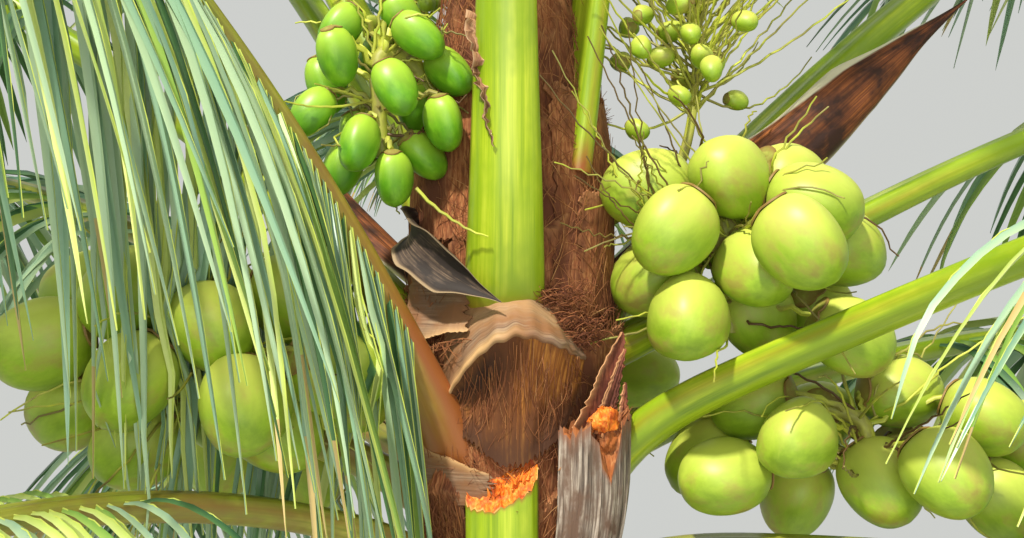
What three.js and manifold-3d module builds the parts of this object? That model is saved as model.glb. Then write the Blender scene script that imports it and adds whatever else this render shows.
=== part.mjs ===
// A dwarf coconut palm: ringed trunk, heart of old leaf sheaths, fronds, and bunches of green nuts.
// Millimetres, +Z up. The origin is the middle of the flat cut at ground level.
// Seen from -Y, the side where the fruit shows best, +X is to the right.
import * as THREE from "three";
import { mergeVertices } from "three/addons/utils/BufferGeometryUtils.js";
import Module from "manifold-3d";

const wasm = await Module();
wasm.setup();

// Whole tree: height of the heart's middle, and how far the trunk's top leans over.
// CLEAR parts the pieces that touch, and LEAF_GAP is the least room round a leaflet or a twig.
const HEART_MIDDLE = 2450;
const LEAN = new THREE.Vector3(90, 40, 0);
const LEAN_POWER = 1.4;
const CLEAR = 0.4;
const LEAF_GAP = 2;
const GOLDEN_ANGLE = Math.PI * (3 - Math.sqrt(5));

// Trunk: radius at heights above the ground, with a bole at the foot
const TRUNK_SIDES = 24;
const TRUNK_TOP = 1760;
const TRUNK_RADII = [
  [0, 235],
  [40, 222],
  [120, 200],
  [240, 178],
  [420, 158],
  [700, 146],
  [1100, 140],
  [1500, 138],
  [TRUNK_TOP, 142],
];

// Heart: radius at heights from its middle
const HEART_SIDES = 18;
const HEART_RADII = [
  [TRUNK_TOP + CLEAR - HEART_MIDDLE, 150],
  [-600, 172],
  [-400, 192],
  [-200, 200],
  [0, 196],
  [230, 186],
  [400, 160],
  [525, 132],
  [700, 104],
  [850, 80],
  [1000, 46],
];
// The spear is the youngest leaf, still folded shut
const SPEAR = { sides: 7, length: 1650, radius: 34, tip: 7 };

// Frond: a five-sided stalk with a flat top and a keel, and leaflets that stand out of its upper sides.
// BARE_RINGS are shares of the stalk below the first leaflet.
const BARE_RINGS = [0, 0.1, 0.28, 0.6];
const STALK_SECTION = [
  [0.34, 0.42],
  [0.5, -0.02],
  [0, -0.58],
  [-0.5, -0.02],
  [-0.34, 0.42],
];
const STALK_WIDTH = { base: 140, leaf: 74, tip: 9 };
const STALK_DEPTH = { base: 84, leaf: 58, tip: 8 };
const STALK_SINK = 30;
const FULL_HEART = 190;
const ROOT_BEND = 0.12;
const ARCH_POWER = 1.6;
const SWING = 0.35;
const LEAFLET = {
  spacing: 300,
  root: 95,
  width: 150,
  thick: 15,
  bend: 0.48,
  splay: [97, 34],
  lift: 0.12,
  fallTurn: 0.3,
};

// The fronds that the photograph shows: where each leaves the heart (azimuth, height from the middle),
// its heading there and further out, its rise at the root, the shoulder and the tip, in degrees,
// its length, where its leaflets start, their greatest length and how much they hang.
// A limp frond's leaflets start by that share along a way to fall, which turns from the first to the
// second over the first part of the blade. A stout frond's stalk is thicker.
const SHOWN_FRONDS = [
  { name: "frond_front_upright", from: [-95, -75], heading: [-88, -90], rise: [48, 87, 30],
    length: 3500, leafStart: 1350, leafLength: 820, hang: 0.5, stout: 1.14 },
  { name: "frond_back_steep", from: [-45, 190], heading: [30, 60], rise: [80, 83, 42],
    length: 3600, leafStart: 1250, leafLength: 850, hang: 0.6, stout: 0.8 },
  { name: "frond_right_high", from: [46, -150], heading: [30, 27], rise: [40, 43, -8],
    length: 4000, leafStart: 1150, leafLength: 980, hang: 1.2, stout: 1.3 },
  { name: "frond_right_front", from: [-60, 575], heading: [-24, -20], rise: [64, 66, 6],
    length: 3700, leafStart: 1000, leafLength: 880, hang: 0.8 },
  { name: "frond_right_middle", from: [2, -175], heading: [12, 10], rise: [24, 29, -30],
    length: 4050, leafStart: 1100, leafLength: 1000, hang: 1.6 },
  { name: "frond_right_bent", from: [-19, -480], heading: [-22, -58], rise: [72, 26, -36],
    length: 3800, leafStart: 1250, leafLength: 940, hang: 1.9, stout: 1.1 },
  { name: "frond_right_back", from: [31, -430], heading: [27, 30], rise: [34, 14, -44],
    length: 3700, leafStart: 1000, leafLength: 900, hang: 2 },
  { name: "frond_right_low", from: [-6, -640], heading: [-10, -18], rise: [34, 2, -46],
    length: 3600, leafStart: 900, leafLength: 820, hang: 2.1 },
  { name: "frond_left_low", from: [-146, -640], heading: [-136, -140], rise: [48, 30, -60],
    archPower: 0.9, length: 3000, leafStart: 760, leafLength: 760, hang: 1.5 },
  { name: "frond_left_curtain", from: [-132, -370], heading: [-132, -140], rise: [62, 56, -22],
    length: 4100, leafStart: 420, leafLength: 1040, hang: 1.6, limp: 0.7,
    fall: [[-0.25, -0.2, -0.95], [0.42, -0.12, -0.9]] },
];

// The other fronds stand in two rows, each spread by the golden ratio over its arc, from the youngest
// to the oldest: the first and last value of each measure
const FROND_ROWS = [
  { name: "frond_young", count: 4, arc: [-75, 250], first: 0.2, height: [760, 560],
    rise: [[64, 84, 60], [58, 74, 38]], length: [2900, 3400], leafStart: 1000,
    leafLength: [700, 840], hang: [0.25, 0.5] },
  { name: "frond_back", count: 9, arc: [72, 195], first: 0.3, height: [330, -600],
    rise: [[54, 68, 18], [44, 12, -54]], length: [3700, 3800], leafStart: 1050,
    leafLength: [880, 960], hang: [0.7, 2.2] },
];

// Bunches: middle from the heart's middle, half reach of the nut middles, count, turn of the spiral,
// and where the stalk leaves the heart (azimuth, height)
const NUT = { width: 165, length: 186, sides: 6, twig: 8 };
const YOUNG_NUT = { width: 82, length: 116, sides: 5, twig: 6 };
const BUNCHES = [
  { name: "bunch_right", middle: [429, -131, -3], reach: [185, 127, 174], nuts: 14, turn: 4.66,
    from: [-8, -60], nut: NUT },
  { name: "bunch_right_low", middle: [709, -28, -375], reach: [358, 161, 130], nuts: 13, turn: 0.84,
    from: [20, -330], nut: NUT },
  { name: "bunch_left", middle: [-565, -356, -174], reach: [265, 112, 123], nuts: 16, turn: 1.56,
    from: [-160, -180], nut: NUT },
  { name: "bunch_left_young", middle: [-250, -190, 330], reach: [140, 80, 165], nuts: 16, turn: 0.7,
    from: [-140, 130], nut: YOUNG_NUT },
  { name: "bunch_back", middle: [148, 470, -220], reach: [150, 110, 140], nuts: 9, turn: 0.2,
    from: [76, -90], nut: NUT },
  { name: "bunch_back_left", middle: [-475, 84, -270], reach: [140, 110, 130], nuts: 8, turn: 1.4,
    from: [160, -240], nut: NUT },
];
// Nut profile: shares of the width and of the length, from its cap to its tip
const NUT_PROFILE = [
  [0.47, 0.24],
  [0.49, 0.68],
  [0, 1],
];
// Room between nuts and round each, in shares of the width, and a margin; the frond stalks count as
// far as a little past their first leaflets
const NUT_ROOM = { apart: 1.01, around: 0.56, margin: 12, rounds: 60 };
const STALK_STOPS = { steps: 25, past: 300 };
const CURVE_STOPS = 12;
const STUB_STOPS = { shares: [0.8, 1], radius: 38 };
// Bunch stalk: its radii, its crest above the nuts, and the part of the reach that the twigs leave from
const BUNCH_STALK = { sides: 5, radius: [24, 14], steps: 7, crest: 0.35, ends: [0.5, -0.7] };
const HUBS = { share: 0.6, low: -0.6, high: 0.5 };

// Flower stalks with thin branches and button nuts
const FLOWER_STALKS = [
  { name: "flower_stalk_right", from: [4, 80], knee: [330, -10, 190], tip: [392, 10, 640],
    branches: 12, branch: 330, button: 44, buttons: 5, turn: 0.5 },
  { name: "flower_stalk_back", from: [135, 130], knee: [-200, 200, 430], tip: [-240, 240, 780],
    branches: 8, branch: 280, button: 40, buttons: 2, turn: 1.9 },
];
const FLOWER_STEM = { radius: [17, 9], sides: 5, steps: 6, bare: 0.55, crown: 0.44 };
const FLOWER_BRANCH = { thick: 5, sides: 3, climb: 0.55, droop: -0.25, reach: [1.1, 0.6], seat: 0.95 };
const BUTTON = { sides: 4, slimness: 1.25, out: 0.6, droop: -0.1 };

// Dry boat-shaped spathes: path by azimuth, distance from the axis and height, their greatest width, and
// how far they are rolled from opening outwards towards -Y
const SPATHES = [
  { name: "spathe_right", path: [[16, 185, -60], [15, 620, 265], [15, 830, 440], [14, 1035, 595]],
    width: 150, depth: 50, wall: 9, roll: 65 },
  { name: "spathe_left_dark", path: [[-166, 196, 100], [-142, 268, 70], [-118, 284, 2], [-94, 286, -62]],
    width: 92, depth: 36, wall: 8 },
  { name: "spathe_back", path: [[145, 185, -60], [146, 470, 150], [147, 620, 300], [148, 760, 480]],
    width: 110, depth: 44, wall: 9 },
];

// Crescent section: turns of the outer and the inner arc, and where the width tapers to the tip
const SPATHE = {
  steps: 8,
  outer: [0, 0.25, 0.5, 0.75, 1],
  inner: [0.8, 0.5, 0.2],
  root: 0.24,
  taperFrom: 0.7,
  taper: 0.86,
  back: 0.4,
};

// Torn leaf sheaths that cling to the heart at their foot and stand off it at the top:
// azimuths, heights at the foot and the top, how far the top stands off, and how arched the top edge is
const SHEATHS = [
  { name: "sheath_front", azimuths: [-110, -66], heights: [-350, -205], stand: 78, arch: 85 },
  { name: "sheath_front_left", azimuths: [-140, -117], heights: [-540, -435], stand: 30, arch: 10 },
  { name: "sheath_back", azimuths: [80, 106], heights: [-400, -320], stand: 60, arch: 50 },
];
const SHEATH = { wall: 9, steps: [6, 3], gap: CLEAR + 6, edge: 0.25 };
const SHEATH_SEAT = { inner: 120, radius: 16, sides: 6, above: 20, past: 10 };

// Stubs of old stalks: where each leaves the heart, its rise, length, the width shares of a broken one's
// neck and of the end, the end's slant across and slope from front to back, and how far it leans aside
const STUBS = [
  { name: "stub_green_cut", from: [-97, -650], heading: [-93, -93], rise: [20, 86, 86],
    length: 264, width: 140, end: 0.95, slant: 0.35, slope: 1.1 },
  { name: "stub_grey_broken", from: [-52, -650], heading: [-55, -55], rise: [18, 89, 89],
    length: 590, width: 158, neck: 0.5, end: 0.14, slant: 0.2, lean: 62 },
  { name: "stub_back", from: [66, -640], heading: [66, 66], rise: [20, 62, 62],
    length: 330, width: 130, end: 0.85, slant: -0.3 },
  { name: "stub_back_left", from: [160, -655], heading: [160, 160], rise: [10, 24, 24],
    length: 150, width: 110, end: 0.85, slant: 0.3 },
];
const STUB = { bend: 0.6, depth: 66, rings: [0, 0.2, 0.45, 0.68, 0.72, 1], root: 0.76, endFrom: 0.7 };

const radians = THREE.MathUtils.degToRad;
const DOWN = new THREE.Vector3(0, 0, -1);
const HEART = new THREE.Vector3(LEAN.x, LEAN.y, HEART_MIDDLE);

// Value of a table of [place, value] pairs, straight between its rows.
function tableValue(table, place) {
  const last = table.length - 1;
  if (place <= table[0][0]) return table[0][1];
  if (place >= table[last][0]) return table[last][1];
  const i = table.findIndex((row) => row[0] > place);
  const [from, to] = [table[i - 1], table[i]];
  return THREE.MathUtils.mapLinear(place, from[0], to[0], from[1], to[1]);
}

// Point of the crown by azimuth in degrees, distance from the heart's axis and height from its middle.
function crownPoint(azimuth, distance, height) {
  const angle = radians(azimuth);
  return new THREE.Vector3(Math.cos(angle) * distance, Math.sin(angle) * distance, height).add(HEART);
}

// Closed three.js geometry as a solid, its faces turned outwards.
function solidOf(geometry) {
  const bare = geometry.index ? geometry.toNonIndexed() : geometry.clone();
  bare.deleteAttribute("normal");
  bare.deleteAttribute("uv");
  const merged = mergeVertices(bare, 1e-3);
  const flat = (a, b, c) => a === b || b === c || c === a;
  const corners = [];
  for (let i = 0; i < merged.index.count; i += 3) {
    const [a, b, c] = merged.index.array.slice(i, i + 3);
    if (!flat(a, b, c)) corners.push(a, b, c);
  }
  const build = (triangles) =>
    new wasm.Manifold(
      new wasm.Mesh({
        numProp: 3,
        vertProperties: merged.attributes.position.array,
        triVerts: new Uint32Array(triangles),
      }),
    );
  const made = build(corners);
  return made.volume() < 0 ? build(corners.reverse()) : made;
}

// Largest body of a solid, without the scraps that a cut may leave.
function mainBody(solid) {
  return solid.decompose().sort((a, b) => b.volume() - a.volume())[0];
}

// Solid as geometry for a mesh.
function geometryOf(solid) {
  const mesh = solid.getMesh();
  const geometry = new THREE.BufferGeometry();
  geometry.setAttribute("position", new THREE.BufferAttribute(mesh.vertProperties, 3));
  geometry.setIndex(new THREE.BufferAttribute(mesh.triVerts, 1));
  const facets = geometry.toNonIndexed();
  facets.computeVertexNormals();
  return facets;
}

function geometryFrom(points, faces) {
  const geometry = new THREE.BufferGeometry().setFromPoints(points);
  geometry.setIndex(faces);
  return geometry;
}

// Skin through rings with the same number of points, closed by a flat fan at both ends.
function loft(rings) {
  const count = rings[0].length;
  const faces = [];
  for (let i = 0; i + 1 < rings.length; i++) {
    for (let k = 0; k < count; k++) {
      const next = (k + 1) % count;
      const [a, b] = [i * count + k, i * count + next];
      faces.push(a, b, b + count, a, b + count, a + count);
    }
  }
  const lastRing = (rings.length - 1) * count;
  for (let k = 1; k + 1 < count; k++) {
    faces.push(0, k + 1, k);
    faces.push(lastRing, lastRing + k, lastRing + k + 1);
  }
  return geometryFrom(rings.flat(), faces);
}

// Round tapering tube through points, with a radius for each.
function tube(points, radii, sides) {
  const rings = points.map((point, i) => {
    const ahead = points[Math.min(i + 1, points.length - 1)];
    const behind = points[Math.max(i - 1, 0)];
    const along = ahead.clone().sub(behind).normalize();
    const reference = Math.abs(along.z) > 0.9 ? new THREE.Vector3(1, 0, 0) : new THREE.Vector3(0, 0, 1);
    const side = along.clone().cross(reference).normalize();
    const up = side.clone().cross(along);
    return Array.from({ length: sides }, (_, k) => {
      const angle = (2 * Math.PI * k) / sides;
      return point
        .clone()
        .addScaledVector(side, Math.cos(angle) * radii[i])
        .addScaledVector(up, Math.sin(angle) * radii[i]);
    });
  });
  return solidOf(loft(rings));
}

// Round tube through points, its radius changing evenly from the first to the last.
function taperedTube(points, [thick, fine], sides) {
  const radii = points.map((_, i) => THREE.MathUtils.lerp(thick, fine, i / (points.length - 1)));
  return tube(points, radii, sides);
}

// Turned column about the heart's axis, from [height from the middle, radius] rows.
function column(rows, sides, grow = 0) {
  const profile = [new THREE.Vector2(0, rows[0][0] - grow)];
  rows.forEach(([height, radius]) => profile.push(new THREE.Vector2(radius + grow, height)));
  profile[1].y -= grow;
  profile.push(new THREE.Vector2(0, rows[rows.length - 1][0] + grow));
  profile[profile.length - 2].y += grow;
  const turned = new THREE.LatheGeometry(profile, sides);
  turned.rotateX(Math.PI / 2);
  turned.translate(HEART.x, HEART.y, HEART.z);
  return solidOf(turned);
}

// Trunk: rings that lean over to stand under the heart, with the foot on the ground.
function trunk() {
  const rings = TRUNK_RADII.map(([height, radius]) => {
    const over = (height / TRUNK_TOP) ** LEAN_POWER;
    return Array.from({ length: TRUNK_SIDES }, (_, k) => {
      const angle = (2 * Math.PI * k) / TRUNK_SIDES;
      return new THREE.Vector3(
        LEAN.x * over + radius * Math.cos(angle),
        LEAN.y * over + radius * Math.sin(angle),
        height,
      );
    });
  });
  return solidOf(loft(rings));
}

// Middle line of a stalk. Its rise falls from root to shoulder over the first part and on to the tip,
// and its heading swings over its first third; both are added up along the length.
class Spine {
  static STEPS = 120;

  constructor(stalk) {
    this.length = stalk.length;
    this.stalk = stalk;
    const [azimuth, height] = stalk.from;
    this.start = crownPoint(azimuth, tableValue(HEART_RADII, height) - STALK_SINK, height);
    this.places = [this.start];
    const step = this.length / Spine.STEPS;
    for (let i = 0; i < Spine.STEPS; i++) {
      const along = this.direction((i + 0.5) / Spine.STEPS);
      this.places.push(this.places[i].clone().addScaledVector(along, step));
    }
  }

  heading(share) {
    const [first, later] = this.stalk.heading;
    return radians(first + (later - first) * THREE.MathUtils.smoothstep(share, 0, SWING));
  }

  rise(share) {
    const [root, shoulder, tip] = this.stalk.rise;
    const arch = this.stalk.archPower ?? ARCH_POWER;
    const rootPart = Math.max(0, 1 - share / (this.stalk.rootBend ?? ROOT_BEND)) ** 2;
    return radians(shoulder + (root - shoulder) * rootPart + (tip - shoulder) * share ** arch);
  }

  direction(share) {
    const [heading, rise] = [this.heading(share), this.rise(share)];
    return new THREE.Vector3(
      Math.cos(heading) * Math.cos(rise),
      Math.sin(heading) * Math.cos(rise),
      Math.sin(rise),
    );
  }

  // Place, direction, left side and upper side at a length along the stalk.
  at(length) {
    const share = THREE.MathUtils.clamp(length / this.length, 0, 1);
    const exact = share * Spine.STEPS;
    const i = Math.min(Math.floor(exact), Spine.STEPS - 1);
    const point = this.places[i].clone().lerp(this.places[i + 1], exact - i);
    const along = this.direction(share);
    const heading = this.heading(share);
    const side = new THREE.Vector3(-Math.sin(heading), Math.cos(heading), 0);
    const up = along.clone().cross(side);
    return { share, point, along, side, up };
  }
}

// Width or depth of a frond's stalk: broad at the root, as far as the heart is thick there, slimmer to
// the first leaflets and fine at the tip.
function stalkSize(frond, length, size) {
  const stout = frond.stout ?? 1;
  if (length < frond.leafStart) {
    const left = 1 - length / frond.leafStart;
    const base = size.base * Math.min(1, tableValue(HEART_RADII, frond.from[1]) / FULL_HEART);
    return stout * (size.leaf + (base - size.leaf) * left ** 1.6);
  }
  const share = (length - frond.leafStart) / (frond.length - frond.leafStart);
  return stout * (size.leaf + (size.tip - size.leaf) * share);
}

function stalkRing(frame, width, depth) {
  return STALK_SECTION.map(([across, above]) =>
    frame.point
      .clone()
      .addScaledVector(frame.side, across * width)
      .addScaledVector(frame.up, above * depth),
  );
}

function leafletPairs(frond) {
  return Math.round((frond.length - frond.leafStart) / LEAFLET.spacing);
}

// Lengths along a frond of its rings: a few on the bare stalk, then a pair for each pair of leaflets.
function ringPlaces(frond) {
  const places = BARE_RINGS.map((share) => share * frond.leafStart);
  const pairs = leafletPairs(frond);
  const spacing = (frond.length - frond.leafStart) / pairs;
  for (let i = 0; i < pairs; i++) {
    const middle = frond.leafStart + (i + 0.5) * spacing;
    const half = (LEAFLET.root / 2) * (1 - (0.5 * i) / pairs);
    places.push(middle - half, middle + half);
  }
  places.push(frond.length);
  return places;
}

// Leaflet length along the blade: rising over the first third, then falling to a quarter at the tip.
function leafletLength(frond, share) {
  const rising = 0.6 + 0.4 * Math.sin((Math.PI / 2) * Math.min(share / 0.3, 1));
  const falling = 1 - 0.74 * Math.max(0, (share - 0.3) / 0.7) ** 1.5;
  return frond.leafLength * rising * falling;
}

// Points of one leaflet past its root: a roof-shaped section at the bend, then the tip. It leaves the
// stalk at a splay angle that closes towards the frond's tip, and gravity turns it down on the way.
function leafletPoints(frond, spine, index, hand) {
  const share = (index + 0.5) / leafletPairs(frond);
  const place = frond.leafStart + share * (frond.length - frond.leafStart);
  const frame = spine.at(place);
  const splay = radians(LEAFLET.splay[0] + (LEAFLET.splay[1] - LEAFLET.splay[0]) * share ** 0.8);
  const first = frame.along
    .clone()
    .multiplyScalar(Math.cos(splay))
    .addScaledVector(frame.side, hand * Math.sin(splay))
    .addScaledVector(frame.up, LEAFLET.lift)
    .normalize();
  if (frond.limp) {
    const [near, far] = frond.fall.map((way) => new THREE.Vector3(...way));
    first.lerp(near.lerp(far, Math.min(1, share / LEAFLET.fallTurn)), frond.limp).normalize();
  }
  const hung = (amount) => first.clone().addScaledVector(DOWN, frond.hang * amount).normalize();
  const length = leafletLength(frond, share);
  const root = frame.point
    .clone()
    .addScaledVector(frame.side, hand * 0.45 * stalkSize(frond, place, STALK_WIDTH));
  const bend = root.addScaledVector(hung(0.2), length * LEAFLET.bend);
  const outward = hung(0.5);
  const across = frame.along.clone().addScaledVector(outward, -frame.along.dot(outward)).normalize();
  const over = outward.clone().cross(across).multiplyScalar(hand).negate();
  if (over.z < 0) over.negate();
  const width = LEAFLET.width * (0.6 + 0.4 * (length / frond.leafLength));
  return {
    top: bend.clone().addScaledVector(over, LEAFLET.thick),
    trail: bend.clone().addScaledVector(across, -width / 2),
    lead: bend.clone().addScaledVector(across, width / 2),
    tip: bend.clone().addScaledVector(hung(0.75), length * (1 - LEAFLET.bend)),
  };
}

// Frond as one closed skin. wanted(index, hand) says which leaflets are there. With only set, it is
// that one leaflet on its own, from its root on the stalk.
function frondGeometry(frond, spine, wanted, only = null) {
  const places = ringPlaces(frond);
  const rings = places.map((place) =>
    stalkRing(spine.at(place), stalkSize(frond, place, STALK_WIDTH), stalkSize(frond, place, STALK_DEPTH)),
  );
  const count = STALK_SECTION.length;
  const pairs = leafletPairs(frond);
  const points = rings.flat();
  const faces = [];
  const budFrom = (quad, index, hand) => {
    const leaflet = leafletPoints(frond, spine, index, hand);
    const at = points.length;
    points.push(leaflet.top, leaflet.trail, leaflet.lead, leaflet.tip);
    const [top, trail, lead, tip] = [at, at + 1, at + 2, at + 3];
    const upper = hand > 0 ? [top, trail, lead, top] : [trail, top, top, lead];
    quad.forEach((a, e) => {
      const next = (e + 1) % quad.length;
      const [b, nearA, nearB] = [quad[next], upper[e], upper[next]];
      faces.push(a, b, nearB);
      if (nearA !== nearB) faces.push(a, nearB, nearA, nearA, nearB, tip);
    });
  };
  for (let i = 0; i + 1 < rings.length; i++) {
    for (let k = 0; k < count; k++) {
      const next = (k + 1) % count;
      const [a, b] = [i * count + k, i * count + next];
      const quad = [a, b, b + count, a + count];
      const index = (i - BARE_RINGS.length) / 2;
      const hand = k === 0 ? 1 : k === 3 ? -1 : 0;
      const carries = Number.isInteger(index) && index >= 0 && index < pairs && hand !== 0;
      if (only) {
        if (carries && index === only.index && hand === only.hand) {
          budFrom(quad, index, hand);
          faces.push(quad[0], quad[2], quad[1], quad[0], quad[3], quad[2]);
        }
      } else if (carries && wanted(index, hand)) budFrom(quad, index, hand);
      else faces.push(quad[0], quad[1], quad[2], quad[0], quad[2], quad[3]);
    }
  }
  if (!only) {
    const lastRing = (rings.length - 1) * count;
    for (let k = 1; k + 1 < count; k++) {
      faces.push(0, k + 1, k);
      faces.push(lastRing, lastRing + k, lastRing + k + 1);
    }
  }
  return geometryFrom(points, faces);
}

// Fronds of one row, spread by the golden ratio over its arc.
function frondRow(row) {
  const between = ([young, old], age) => young + (old - young) * age;
  return Array.from({ length: row.count }, (_, k) => {
    const age = k / (row.count - 1);
    const turn = (row.first + (k * GOLDEN_ANGLE) / (2 * Math.PI)) % 1;
    const azimuth = between(row.arc, turn);
    return {
      name: `${row.name}_${k + 1}`,
      from: [azimuth, between(row.height, age)],
      heading: [azimuth, azimuth],
      rise: row.rise[0].map((young, i) => between([young, row.rise[1][i]], age)),
      length: between(row.length, age),
      leafStart: row.leafStart,
      leafLength: between(row.leafLength, age),
      hang: between(row.hang, age),
    };
  });
}

// Nut on its twig, turned as one piece: a thin neck from the hub, then the nut, pointing outwards.
function nutSolid(hub, middle, nut) {
  const direction = middle.clone().sub(hub);
  const neck = Math.max(direction.length() - nut.length / 2, nut.twig);
  const profile = [new THREE.Vector2(0, 0), new THREE.Vector2(nut.twig, neck)];
  NUT_PROFILE.forEach(([across, along]) => {
    profile.push(new THREE.Vector2(across * nut.width, neck + along * nut.length));
  });
  const turned = new THREE.LatheGeometry(profile, nut.sides);
  const upright = new THREE.Vector3(0, 1, 0);
  turned.applyQuaternion(new THREE.Quaternion().setFromUnitVectors(upright, direction.normalize()));
  turned.translate(hub.x, hub.y, hub.z);
  return solidOf(turned);
}

// Places that nuts keep off: points along a curve, with a radius.
function stopsAlong(curve, radius) {
  return curve.getPoints(CURVE_STOPS).map((point) => ({ point, radius }));
}

// The same for the upper end of a stub.
function stubStops(stub) {
  const spine = new Spine({ ...stub, rootBend: STUB.bend });
  return STUB_STOPS.shares.map((share) => {
    const { point, side } = spine.at(share * stub.length);
    const late = Math.max(0, share - STUB.endFrom) / (1 - STUB.endFrom);
    return { point: point.addScaledVector(side, (stub.lean ?? 0) * late), radius: STUB_STOPS.radius };
  });
}

function spatheCurve(spathe) {
  return new THREE.CatmullRomCurve3(spathe.path.map((place) => crownPoint(...place)));
}

function flowerCurve(flower) {
  const [azimuth, height] = flower.from;
  return new THREE.CatmullRomCurve3([
    crownPoint(azimuth, tableValue(HEART_RADII, height) - STALK_SINK, height),
    new THREE.Vector3(...flower.knee).add(HEART),
    new THREE.Vector3(...flower.tip).add(HEART),
  ]);
}

// Nut middles: a spiral over an egg-shaped reach, then pressed apart, off the heart and off the stalks.
function nutPlaces(bunch, spines, otherNuts) {
  const middle = new THREE.Vector3(...bunch.middle).add(HEART);
  const places = Array.from({ length: bunch.nuts }, (_, k) => {
    const level = 1 - (2 * (k + 0.5)) / bunch.nuts;
    const around = bunch.turn + k * GOLDEN_ANGLE;
    const spread = Math.sqrt(1 - level * level);
    return new THREE.Vector3(Math.cos(around) * spread, Math.sin(around) * spread, level)
      .multiply(new THREE.Vector3(...bunch.reach))
      .add(middle);
  });
  const across = bunch.nut.width;
  const stalks = spines.flatMap(({ spine, frond }) => {
    const reach = frond.leafStart + STALK_STOPS.past;
    return Array.from({ length: STALK_STOPS.steps + 1 }, (_, i) => {
      const length = (i / STALK_STOPS.steps) * reach;
      return { point: spine.at(length).point, radius: stalkSize(frond, length, STALK_WIDTH) / 2 };
    });
  });
  const stops = [
    ...stalks,
    ...otherNuts,
    ...SPATHES.flatMap((spathe) => stopsAlong(spatheCurve(spathe), spathe.width / 2)),
    ...FLOWER_STALKS.flatMap((flower) => stopsAlong(flowerCurve(flower), FLOWER_STEM.radius[0])),
    ...STUBS.flatMap(stubStops),
  ];
  const room = across * NUT_ROOM.around + NUT_ROOM.margin;
  for (let round = 0; round < NUT_ROOM.rounds; round++) {
    places.forEach((place, i) => {
      places.slice(i + 1).forEach((other) => {
        const apart = other.clone().sub(place);
        const short = across * NUT_ROOM.apart - apart.length();
        if (short <= 0) return;
        apart.setLength(short / 2);
        other.add(apart);
        place.sub(apart);
      });
      const out = place.clone().sub(HEART);
      const radius = tableValue(HEART_RADII, out.z) + room;
      out.z = 0;
      const inside = radius - out.length();
      if (inside > 0) place.add(out.setLength(inside));
      stops.forEach((stop) => {
        const away = place.clone().sub(stop.point);
        const short = room + stop.radius - away.length();
        if (short > 0) place.add(away.setLength(short));
      });
    });
  }
  return { middle, places };
}

// Bunch: a stalk from the heart into the middle of the nuts, with each nut on its twig.
function bunchSolid(bunch, spines, otherNuts) {
  const { middle, places } = nutPlaces(bunch, spines, otherNuts);
  otherNuts.push(...places.map((point) => ({ point, radius: bunch.nut.width / 2 })));
  const [azimuth, height] = bunch.from;
  const root = crownPoint(azimuth, tableValue(HEART_RADII, height) - STALK_SINK, height);
  const crest = root.clone().lerp(middle, 0.5);
  crest.z = Math.max(root.z, middle.z) + BUNCH_STALK.crest * bunch.reach[2];
  const above = (share) => middle.clone().add(new THREE.Vector3(0, 0, share * bunch.reach[2]));
  const curve = new THREE.CatmullRomCurve3([root, crest, ...BUNCH_STALK.ends.map(above)]);
  const solids = [taperedTube(curve.getPoints(BUNCH_STALK.steps), BUNCH_STALK.radius, BUNCH_STALK.sides)];
  places.forEach((place) => {
    const level = ((place.z - middle.z) * HUBS.share) / bunch.reach[2];
    const hub = above(THREE.MathUtils.clamp(level, HUBS.low, HUBS.high));
    solids.push(nutSolid(hub, place, bunch.nut));
  });
  return wasm.Manifold.union(solids);
}

// Flower stalk: a curved stem with branches on a spiral that arch and hang, some with a button nut.
function flowerSolid(flower, limbs) {
  const curve = flowerCurve(flower);
  const solids = [taperedTube(curve.getPoints(FLOWER_STEM.steps), FLOWER_STEM.radius, FLOWER_STEM.sides)];
  const size = FLOWER_BRANCH.thick;
  for (let k = 0; k < flower.branches; k++) {
    const from = curve.getPointAt(FLOWER_STEM.bare + (FLOWER_STEM.crown * (k + 0.5)) / flower.branches);
    const around = flower.turn + k * GOLDEN_ANGLE;
    const out = new THREE.Vector3(Math.cos(around), Math.sin(around), FLOWER_BRANCH.climb).normalize();
    const reach = flower.branch * THREE.MathUtils.lerp(...FLOWER_BRANCH.reach, k / flower.branches);
    const bend = from.clone().addScaledVector(out, reach * 0.5);
    const end = bend.clone().addScaledVector(out.clone().setZ(FLOWER_BRANCH.droop).normalize(), reach * 0.5);
    const parts = [tube([from, bend, end], [size, size, size * 0.8], FLOWER_BRANCH.sides)];
    if (k < flower.buttons) {
      const length = flower.button * BUTTON.slimness;
      const hub = bend.clone().lerp(end, FLOWER_BRANCH.seat);
      const middle = end.clone().addScaledVector(out.setZ(BUTTON.droop), flower.button * BUTTON.out);
      parts.push(nutSolid(hub, middle, { width: flower.button, length, sides: BUTTON.sides, twig: size }));
    }
    if (parts.every((part) => limbs.every((limb) => part.minGap(limb, LEAF_GAP) >= LEAF_GAP))) {
      solids.push(...parts);
    }
  }
  return wasm.Manifold.union(solids);
}

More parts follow.
